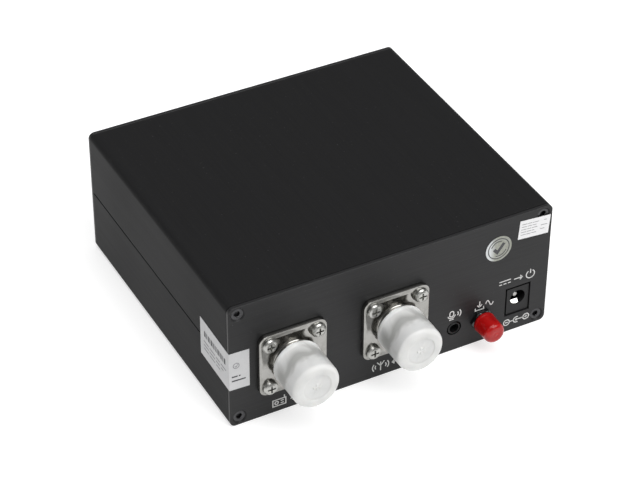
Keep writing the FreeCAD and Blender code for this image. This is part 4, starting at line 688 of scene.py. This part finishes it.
def dust_cap(name, slot, shape, segments):
    """A pull-off cap: lipped tapered wall, rolled end, a shallow dish and a star-shaped gate mark."""
    node = name + "_cap"
    at = Vector((middle(node).x, FACE_Y, middle(node).z))
    rim = behind_face(high(node).y)
    end = behind_face(low(node).y)
    outer = half_width(node)
    inner = outer - shape["wall"]
    floor_y = end + shape["floor"]
    lip = rim - shape["lip"]
    rows = [(rim - 0.12, inner), (rim, inner + 0.1), (rim, outer - 0.16), (rim - 0.07, outer - 0.05),
            (rim - 0.25, outer), (lip, outer - 0.03), (lip - 0.12, outer - 0.1)]
    start, stop = lip - LIP_FALL, end + shape["roll"]
    for step in range(WALL_STEPS):
        share = step / WALL_STEPS
        narrowing = LIP_STEP + (shape["taper"] - LIP_STEP) * share
        rows.append((start + (stop - start) * share, outer - narrowing))
    rows += rounded_turn(end, outer - shape["taper"], shape["roll"], 8)
    reach, depth = shape["dish"]
    bottom = end + depth
    crest = bottom - 0.7 * depth
    gate = shape["gate"]

    def star(angle):
        return bottom + (crest - bottom) * abs(math.cos(2 * angle)) ** 3

    rows += [(end, reach + 0.25), (end + 0.25 * depth, reach + 0.08),
             (bottom - 0.25 * depth, reach - 0.08), (bottom, reach - 0.25), (bottom, gate),
             (star, gate * 0.85), (star, gate * 0.3), (crest, gate * 0.12), (crest, 0.0)]
    rows += [(floor_y, 0.0), (floor_y, inner - 0.8), (floor_y + 0.1, inner - 0.3),
             (floor_y + 0.5, inner)]
    bm = bmesh.new()
    turned(bm, rows, segments)
    return piece(name + "_cap_moulded", bm, node, slot, [node], at)


# ------------------------------------------------------------------ receiver socket

# All in millimetres.
RECEIVER_PITCH = 0.706
RECEIVER_MINOR = 2.75
RECEIVER_DEPTH = 0.34
RECEIVER_MOUTH = 2.3
RECEIVER_SOFT = 0.15
PIN_TOP = 0.3
PIN_INSET = 0.7
PIN_ROWS = (1.2, 5.8)
PIN_TIP = 0.34
PIN_ROOT = 0.4
PIN_SIDES = 20
NUT_BORE = 3.14
# How far the nut's corners reach, in widths across flats: along its sides and at its back face.
NUT_CORNERS = 0.57
NUT_CHAMFER = 0.52


def receiver_socket():
    """Threaded barrel in front of the panel, and the block on the board behind it."""
    node = "sdr_socket"
    at = Vector((middle(node).x, FACE_Y, middle("sdr_insulator").z))
    tip = behind_face(low(node).y)
    back = behind_face(high(node).y)
    seat = behind_face(low("sdr_insulator").y)
    bore = half_width("sdr_insulator")
    block_front = behind_face(high("connector_panel").y)
    half = half_width(node)
    board = (low("sdr_relay_cover").z - at.z) / MM
    bm = bmesh.new()
    rows = [(block_front + 0.1, bore), (block_front + 0.1, RECEIVER_MINOR + 0.15)]
    rows += thread_rows(block_front - 0.1, tip + 0.35, RECEIVER_MINOR, RECEIVER_DEPTH, RECEIVER_PITCH)
    rows += [(tip + 0.15, RECEIVER_MINOR + 0.05), (tip, RECEIVER_MINOR - 0.15),
             (tip, RECEIVER_MOUTH + 0.1), (tip + 0.12, RECEIVER_MOUTH), (seat, RECEIVER_MOUTH),
             (seat, bore)]
    turned(bm, rows, ROUND_SMALL, RECEIVER_PITCH)
    reach, foot = half - RECEIVER_SOFT, board + RECEIVER_SOFT
    outline = [(-reach, foot), (reach, foot), (reach, reach), (-reach, reach)]
    outline_plate(bm, outline, [(0.0, 0.0, bore)], block_front, back, RECEIVER_SOFT)
    pin_end = (low(node).z - at.z) / MM
    pin_start = board + PIN_TOP
    for side in (-1, 1):
        for row in PIN_ROWS:
            spot = ((half - PIN_INSET) * side, block_front + row, (pin_start + pin_end) / 2)
            bmesh.ops.create_cone(bm, cap_ends=True, segments=PIN_SIDES, radius1=PIN_TIP,
                                  radius2=PIN_ROOT, depth=pin_start - pin_end,
                                  matrix=Matrix.Translation(spot))
    return piece("sdr_socket_turned", bm, "case", "gold_plate", [node], at)


def receiver_nut():
    """Hexagon nut with its corners turned off, in front of the panel."""
    node = "sdr_nut"
    at = Vector((middle(node).x, FACE_Y, middle(node).z))
    front = -(high(node).y - low(node).y) / MM
    flats = (high(node).z - low(node).z) / MM
    sides = hexagonal(flats, flats * NUT_CORNERS)
    rows = [(0.0, NUT_BORE), (0.0, hexagonal(flats, flats * NUT_CHAMFER)), (-0.18, sides),
            (front + 0.25, sides), (front, flats / 2), (front, NUT_BORE + 0.16), (front + 0.15, NUT_BORE)]
    bm = bmesh.new()
    turned(bm, rows, ROUND_LARGE)
    return piece("sdr_nut_turned", bm, "case", "black_oxide_screw", [node], at, 20.0)


# ------------------------------------------------------------------ talk jack and panel screws

# All in millimetres.
TALK_BORE = 1.8
TALK_NOSE = 2.45
TALK_LIP = 0.32
TALK_NOSE_BACK = 0.4
TALK_MOUTH = 3.5
TALK_SOFT = 0.12
TALK_SLOT = 0.7
TALK_AXIS_DROP = 2.7
SCREW_HEAD = 2.25
SCREW_NECK = 1.2
SCREW_FLATS = 2.0
SCREW_DEEP = 1.3


def talk_jack():
    """Moulded jack: a round-lipped nose in the panel, and its slotted block on the board."""
    node = "ptt_jack_housing"
    at = Vector((middle(node).x, FACE_Y, high(node).z - TALK_AXIS_DROP * MM))
    front = behind_face(high("connector_panel").y) + TALK_NOSE_BACK
    back = behind_face(high(node).y)
    bm = bmesh.new()
    rows = rounded_turn(0.0, TALK_NOSE, TALK_LIP, 5)
    rows += reversed(rounded_turn(0.0, TALK_BORE, -TALK_LIP / 2, 4))
    turned(bm, rows + [(front + 0.2, TALK_BORE), (front + 0.2, TALK_NOSE)], ROUND_SMALL)
    mouth_end = front + TALK_MOUTH
    wall = half_width(node) - TALK_SOFT
    floor_z = (low(node).z - at.z) / MM + TALK_SOFT
    roof = (high(node).z - at.z) / MM - TALK_SOFT
    outline = [(-wall, floor_z), (wall, floor_z), (wall, roof), (-wall, roof)]
    outline_plate(bm, outline, [(0.0, 0.0, TALK_BORE)], front, mouth_end, TALK_SOFT)
    slot = TALK_SLOT + TALK_SOFT
    turn = math.degrees(math.asin(slot / (TALK_BORE + TALK_SOFT)))
    outline = [(-wall, floor_z), (wall, floor_z), (wall, roof), (slot, roof)]
    outline += arc(0.0, 0.0, TALK_BORE + TALK_SOFT, 90 - turn, -270 + turn, 32)
    outline += [(-slot, roof), (-wall, roof)]
    outline_plate(bm, outline, [], mouth_end, back, TALK_SOFT)
    return piece("ptt_jack_moulded", bm, "case", "black_moulding", [node], at)


def screw_rows(length):
    """A countersunk screw with a chamfered hexagon socket, its head at Y = 0."""
    corner = SCREW_FLATS / math.sqrt(3)
    sides = hexagonal(SCREW_FLATS)
    rows = [(SCREW_DEEP + 0.25, 0.0), (SCREW_DEEP, sides), (0.22, sides), (0.04, corner + 0.12),
            (0.0, corner + 0.2), (0.0, SCREW_HEAD - 0.14), (0.06, SCREW_HEAD - 0.04),
            (0.16, SCREW_HEAD - 0.03), (SCREW_HEAD - SCREW_NECK + 0.1, SCREW_NECK)]
    rows += [(step, SCREW_NECK) for step in (2.0, 4.0, 6.0)]
    return rows + [(length - 0.5, SCREW_NECK), (length, SCREW_NECK - 0.5), (length, 0.0)]


def panel_screws(panel, out_y):
    """The four screws at the corners of one panel; out_y is the side their heads are on."""
    node = panel + "_screws"
    lower, upper = low(node), high(node)
    face = lower.y if out_y < 0 else upper.y
    facing = Matrix.Rotation(0.0 if out_y < 0 else math.pi, 4, "Z")
    rows = screw_rows((upper.y - lower.y) / MM)
    inset = SCREW_HEAD * MM
    bm = bmesh.new()
    for x in (lower.x + inset, upper.x - inset):
        for z in (lower.z + inset, upper.z - inset):
            one = bmesh.new()
            turned(one, rows, ROUND_MIDDLE, closed=False)
            one.transform(Matrix.Translation((x / MM, face / MM, z / MM)) @ facing)
            mesh = bpy.data.meshes.new("one_screw")
            one.to_mesh(mesh)
            one.free()
            bm.from_mesh(mesh)
            bpy.data.meshes.remove(mesh)
    return piece(node + "_turned", bm, "case", "black_oxide_screw", [node], crease=25.0)


# ------------------------------------------------------------------ print on panels and labels


def on_face(x, z, rise):
    """A point of the print on the connector panel."""
    return (x, FACE_Y / MM - rise, z)


def on_rear(x, z, rise):
    """The same on the far panel, which is read from behind, so that its left is +X."""
    return (-x, REAR_Y / MM + rise, z)


def aerial():
    """Mast with a three-armed head."""
    return [[(0.0, -1.5), (0.0, 1.5)], [(-1.1, 1.5), (0.0, 0.2), (1.1, 1.5)]]


def waves(side):
    """Two arcs that spread to one side."""
    centre = 0 if side > 0 else 180
    return [arc(0.0, 0.0, radius, centre - 42, centre + 42, 8) for radius in (0.9, 1.7)]


def handset():
    """A radio with its aerial, dial and keys."""
    outline = [(-1.9, -1.4), (1.9, -1.4), (1.9, 0.7), (-1.9, 0.7)]
    return [("closed", outline), ("closed", circle(-0.8, -0.35, 0.5, 14)),
            [(0.4, 0.05), (1.3, 0.05)], [(0.4, -0.75), (1.3, -0.75)], [(1.5, 0.7), (1.5, 1.7)]]


def microphone():
    """A capsule in its cradle, on a foot."""
    capsule = arc(0.0, 0.7, 0.6, 0, 180, 8) + arc(0.0, 0.1, 0.6, 180, 360, 8)
    return [("closed", capsule), arc(0.0, 0.1, 1.15, 190, 350, 10), [(0.0, -1.05), (0.0, -1.5)],
            [(-0.7, -1.5), (0.7, -1.5)]]


def tray():
    """Arrow into a tray: a signal that goes to the receiver."""
    return [[(0.0, 1.5), (0.0, -0.5)], [(-0.7, 0.3), (0.0, -0.5), (0.7, 0.3)],
            [(-1.3, -0.5), (-1.3, -1.35), (1.3, -1.35), (1.3, -0.5)]]


def arrow(length, both_ends=False):
    """An arrow along X, pointing to the right or both ways."""
    half, head = length / 2, 0.7
    marks = [[(-half, 0.0), (half, 0.0)], [(half - head, head), (half, 0.0), (half - head, -head)]]
    if both_ends:
        marks.append([(head - half, head), (-half, 0.0), (head - half, -head)])
    return marks


def sine(length, height):
    """One turn of a wave."""
    count = 16
    return [[(length * (step / count - 0.5), height * math.sin(TURN * step / count))
             for step in range(count + 1)]]


def direct_current():
    """A long bar over three short ones."""
    marks = [[(-1.8, 0.5), (1.8, 0.5)]]
    for step in (-1, 0, 1):
        marks.append([(1.35 * step - 0.45, -0.5), (1.35 * step + 0.45, -0.5)])
    return marks


def polarity():
    """Centre-positive mark: a sleeve open to the left, its pin, and a signed ring at either side."""
    return [("closed", circle(-3.7, 0.0, 1.1, 18)), [(-4.2, 0.0), (-3.2, 0.0)],
            [(-2.6, 0.0), (-1.1, 0.0)], arc(0.0, 0.0, 1.1, 60, 300, 14),
            ("closed", circle(0.0, 0.0, 0.28, 10)), [(0.28, 0.0), (2.5, 0.0)],
            ("closed", circle(3.6, 0.0, 1.1, 18)), [(3.1, 0.0), (4.1, 0.0)], [(3.6, -0.5), (3.6, 0.5)]]


def power_mark():
    """A ring open at its top, with a bar in the gap."""
    return [arc(0.0, 0.0, 1.3, 120, 420, 18), [(0.0, 0.3), (0.0, 1.7)]]


def put(marks, x, z, scale=1.3):
    """The same marks at another size, round another place."""
    moved = []
    for mark in marks:
        closed = mark[0] == "closed"
        points = [(px * scale + x, pz * scale + z) for px, pz in (mark[1] if closed else mark)]
        moved.append(("closed", points) if closed else points)
    return moved


def draw(name, marks, width, surface, slot, ink):
    """Marks of one stroke width on a surface, finished in their ink; the record has no ink. The
    record has no ink, so their slot is a label's.
    """
    bm = bmesh.new()
    for mark in marks:
        closed = mark[0] == "closed"
        pen(bm, mark[1] if closed else mark, width, surface, closed)
    return piece(name, bm, "case", slot, ink=ink)


# Heights of the rows of pictograms and the widths of their strokes, in millimetres.
LOW_ROW = 4.3
POLARITY_ROW = 4.1
MID_ROW = 16.2
TOP_ROW = 23.0
LAMP_ROW = 20.4
BUTTON_ROW = 22.6
FACE_STROKE = 0.42
REAR_STROKE = 0.38


def panel_print():
    """White pictograms beside each connector and control, on both panels."""
    radio = middle("radio_cap").x / MM
    antenna = middle("antenna_cap").x / MM
    talk = middle("ptt_jack_housing").x / MM
    sdr = middle("sdr_cap").x / MM
    supply = middle("dc_jack_pin").x / MM
    marks = put(handset(), radio - 4.4, LOW_ROW) + put(waves(1), radio - 0.9, LOW_ROW)
    marks += put(arrow(2.6), radio + 4.2, LOW_ROW) + put(aerial(), radio + 7.6, LOW_ROW)
    marks += put(waves(-1), antenna - 5.6, LOW_ROW) + put(aerial(), antenna - 4.6, LOW_ROW)
    marks += put(waves(1), antenna - 3.6, LOW_ROW) + put(arrow(4.0, True), antenna + 2.6, LOW_ROW)
    marks += put(aerial(), antenna + 8.3, LOW_ROW) + put(waves(1), antenna + 9.2, LOW_ROW)
    marks += put(microphone(), talk - 1.2, MID_ROW) + put(waves(1), talk + 0.3, MID_ROW)
    marks += put(tray(), sdr - 1.0, MID_ROW) + put(sine(2.4, 0.9), sdr + 3.0, MID_ROW)
    marks += put(direct_current(), supply - 6.0, TOP_ROW) + put(arrow(2.6), supply - 0.6, TOP_ROW)
    marks += put(power_mark(), supply + 4.4, TOP_ROW)
    marks += put(polarity(), supply - 0.2, POLARITY_ROW, 1.1)
    draw("connector_panel_print", marks, FACE_STROKE, on_face, "white_label", white_ink)

    button = -middle("power_button").x / MM
    power = -middle("power_lamp").x / MM
    transmit = -middle("transmit_lamp").x / MM
    marks = put(power_mark(), button, BUTTON_ROW) + put(power_mark(), power, LAMP_ROW, 1.0)
    marks += put(aerial(), transmit, LAMP_ROW, 1.0)
    for side in (-1, 1):
        marks += put(waves(side), transmit + 0.9 * side, LAMP_ROW, 1.0)
    draw("front_panel_print", marks, REAR_STROKE, on_rear, "white_label", white_ink)


def dashes(x0, x1, z, parts):
    """Straight stretches of a printed row, given as shares of its length."""
    return [[(x0 + (x1 - x0) * start, z), (x0 + (x1 - x0) * stop, z)] for start, stop in parts]


# How the two paper labels are stuck on askew, then the bars on the seal and the gap after each.
SEAL_SLOPE = math.tan(math.radians(2.2))
CORNER_TILT = math.radians(4.8)
BAR_WIDTHS = (0.9, 0.35, 0.35, 0.7, 0.35, 1.1, 0.35, 0.7, 0.35, 0.35, 0.9, 0.35, 0.7, 0.35, 0.35, 1.1)
BAR_GAPS = (0.4, 0.35, 0.7, 0.35, 0.6, 0.4, 0.35, 0.6, 0.35, 0.7, 0.35, 0.6, 0.35, 0.35, 0.6, 0.0)


def seal_print():
    """Bars and rows on the seal folded round the corner, which slopes down from back to front."""
    left = low("side_seal_label").x / MM
    front = low("side_seal_label").y / MM
    back = high("side_seal_label").y / MM
    top = high("side_seal_label").z / MM - SEAL_SLOPE * (back - FACE_Y / MM)

    def on_side(along, z, rise):
        return (left - rise, along, z + SEAL_SLOPE * (along - FACE_Y / MM))

    def on_front(x, z, rise):
        return (x, front - rise, z - SEAL_SLOPE * (x - left))

    bars, start = [], 0.0
    for width, gap in zip(BAR_WIDTHS, BAR_GAPS):
        bars.append((start, start + width))
        start += width + gap
    bars = [(first / start, last / start) for first, last in bars]
    marks = dashes(back - 3.0, front + 2.6, top - 5.2, bars)
    draw("seal_side_bold", marks, 2.4, on_side, "white_label", dark_ink)
    marks = []
    for index, below in enumerate((8.6, 10.2, 11.8)):
        shares = ((0.0, 0.22), (0.26, 0.5), (0.55, 0.72), (0.77, 1.0 - 0.12 * index))
        marks += dashes(back - 2.6, front + 2.2, top - below, shares)
    draw("seal_side_rows", marks, 0.55, on_side, "white_label", grey_ink)
    marks = [("closed", circle(left + 2.7, top - 5.6, 1.1, 20)),
             [(left + 2.2, top - 5.7), (left + 2.6, top - 6.1), (left + 3.3, top - 5.1)]]
    draw("seal_front_mark", marks, 0.3, on_front, "white_label", grey_ink)
    marks = dashes(left + 1.0, left + 6.4, top - 10.2, ((0.0, 0.4), (0.48, 0.6)))
    marks += dashes(left + 1.0, left + 6.4, top - 12.0, ((0.0, 0.95),))
    draw("seal_front_rows", marks, 0.55, on_front, "white_label", dark_ink)


def corner_print():
    """Two columns of rows on the small label, which is stuck on askew."""
    node = "corner_label"
    centre = middle(node) / MM
    face = low(node).y / MM
    run, drop = math.cos(CORNER_TILT), math.sin(CORNER_TILT)
    extent = (high(node) - low(node)) / MM
    # Half the label's own length and height, worked out from the box round the tilted label.
    along = (extent.x * run - extent.z * drop) / math.cos(2 * CORNER_TILT) / 2
    across = (extent.z * run - extent.x * drop) / math.cos(2 * CORNER_TILT) / 2

    def on_label(x, z, rise):
        return (centre.x + x * run + z * drop, face - rise, centre.z - x * drop + z * run)

    marks = []
    for index, stop in enumerate((0.98, 0.86, 0.93, 0.78, 0.9)):
        z = across - 1.6 - 1.1 * index
        marks += dashes(0.9 - along, 7.9 - along, z, ((0.0, 0.3), (0.34, 0.58), (0.62, stop)))
    for below, share in ((1.6, (0.35, 0.75)), (3.6, (0.0, 0.9)), (5.2, (0.0, 0.6))):
        marks += dashes(8.8 - along, along - 0.7, across - below, (share,))
    draw("corner_label_rows", marks, 0.22, on_label, "white_label", grey_ink)


def sticker_print():
    """A ring, two arcs and a tick on the round sticker."""
    node = "round_sticker"
    radius = half_width(node)
    x, z, y = middle(node).x / MM, middle(node).z / MM, low(node).y / MM

    def on_sticker(px, pz, rise):
        return (px, y - rise, pz)

    marks = [("closed", circle(x, z, radius * 0.8, 36))]
    marks += [arc(x, z, radius * 0.6, start, start + 90, 10) for start in (70, 250)]
    draw("sticker_ring", marks, 0.35, on_sticker, "silver_sticker", dark_ink)
    tick = [[(x - 1.9, z + 0.1), (x - 0.5, z - 1.5), (x + 2.1, z + 1.9)]]
    draw("sticker_tick", tick, 1.25, on_sticker, "silver_sticker", dark_ink)


# ------------------------------------------------------------------ stage, light and camera

# How far the sheet lies below the box, so that no two faces coincide, and how far it reaches, both in
# millimetres, then its cells along each side.
FLOOR_GAP = 0.05
FLOOR_REACH = 6000.0
FLOOR_CELLS = 12
# Place in metres, size in metres and power in watts of each lamp; they point at the origin.
LAMPS = {
    "key": ((0.4, -0.85, 1.15), (1.1, 0.9), 14.5),
    "top": ((-0.15, 0.0, 1.5), (1.2, 1.0), 13.0),
}
# Height on the sky's dome and how pale it is there, from the horizon up.
SKY = ((0.0, 0.95), (0.1, 0.8), (0.3, 0.2), (0.8, 0.42))
SKY_STRENGTH = 0.8
# Place in metres, turn in degrees and focal length in millimetres.
CAMERA_PLACE = (-0.31586, -0.59082, 0.53539)
CAMERA_TURN = (52.380, -0.309, -28.022)
CAMERA_LENS = 132.3


def floor():
    """A broad pale sheet that the box stands on."""
    bm = bmesh.new()
    bmesh.ops.create_grid(bm, x_segments=FLOOR_CELLS, y_segments=FLOOR_CELLS, size=FLOOR_REACH)
    mesh = bpy.data.meshes.new("floor")
    bm.to_mesh(mesh)
    bm.free()
    mesh.transform(Matrix.Translation((0.0, 0.0, -FLOOR_GAP * MM)) @ Matrix.Scale(MM, 4))
    finish = Finish("floor_sheet", (0.56, 0.56, 0.56), 0.8, specular_ior_level=0.1,
                    emission_color=(1.0, 1.0, 1.0, 1.0), emission_strength=0.6)
    finish.paint(finish.remap(finish.noise((0.004,) * 3, 2.0), 0.4, 0.7, 0.0, 0.4), (0.54, 0.54, 0.54))
    mesh.materials.append(finish.material)
    obj = bpy.data.objects.new("floor", mesh)
    bpy.context.scene.collection.objects.link(obj)


def softbox(name, place, size, power):
    """A broad lamp that points at the origin."""
    light = bpy.data.lights.new(name, "AREA")
    light.shape = "RECTANGLE"
    light.size, light.size_y = size
    light.energy = power
    obj = bpy.data.objects.new(name, light)
    obj.location = place
    obj.rotation_euler = (-Vector(place)).to_track_quat("-Z", "Y").to_euler()
    bpy.context.scene.collection.objects.link(obj)


def studio():
    """A sky that is palest at the horizon, a lamp in front and a lamp above."""
    world = bpy.data.worlds.new("studio")
    world.use_nodes = True
    tree = world.node_tree
    tree.nodes.clear()
    output = tree.nodes.new("ShaderNodeOutputWorld")
    back = tree.nodes.new("ShaderNodeBackground")
    place = tree.nodes.new("ShaderNodeTexCoord")
    split = tree.nodes.new("ShaderNodeSeparateXYZ")
    ramp = tree.nodes.new("ShaderNodeValToRGB")
    tree.links.new(place.outputs["Generated"], split.inputs[0])
    tree.links.new(split.outputs["Z"], ramp.inputs[0])
    tree.links.new(ramp.outputs[0], back.inputs["Color"])
    tree.links.new(back.outputs[0], output.inputs["Surface"])
    while len(ramp.color_ramp.elements) < len(SKY):
        ramp.color_ramp.elements.new(0.5)
    for element, (position, grey) in zip(ramp.color_ramp.elements, SKY):
        element.position = position
        element.color = (grey, grey, grey, 1.0)
    back.inputs["Strength"].default_value = SKY_STRENGTH
    bpy.context.scene.world = world
    for name, (place, size, power) in LAMPS.items():
        softbox(name, place, size, power)


def camera():
    """Looks down on the connector panel and the left side."""
    data = bpy.data.cameras.new("camera")
    data.lens = CAMERA_LENS
    data.clip_start, data.clip_end = 0.01, 50.0
    obj = bpy.data.objects.new("camera", data)
    obj.location = CAMERA_PLACE
    obj.rotation_euler = [math.radians(angle) for angle in CAMERA_TURN]
    bpy.context.scene.collection.objects.link(obj)
    bpy.context.scene.camera = obj


# ------------------------------------------------------------------ everything

dress_cad_nodes()
for port in ("radio", "antenna"):
    coax_socket(port)
    dust_cap(port, "white_cap", WHITE_CAP, ROUND_LARGE)
receiver_socket()
receiver_nut()
dust_cap("sdr", "red_cap", RED_CAP, ROUND_MIDDLE)
talk_jack()
panel_screws("connector_panel", -1)
panel_screws("front_panel", 1)
panel_print()
seal_print()
corner_print()
sticker_print()
floor()
studio()
camera()
bpy.context.scene.view_settings.view_transform = "Standard"
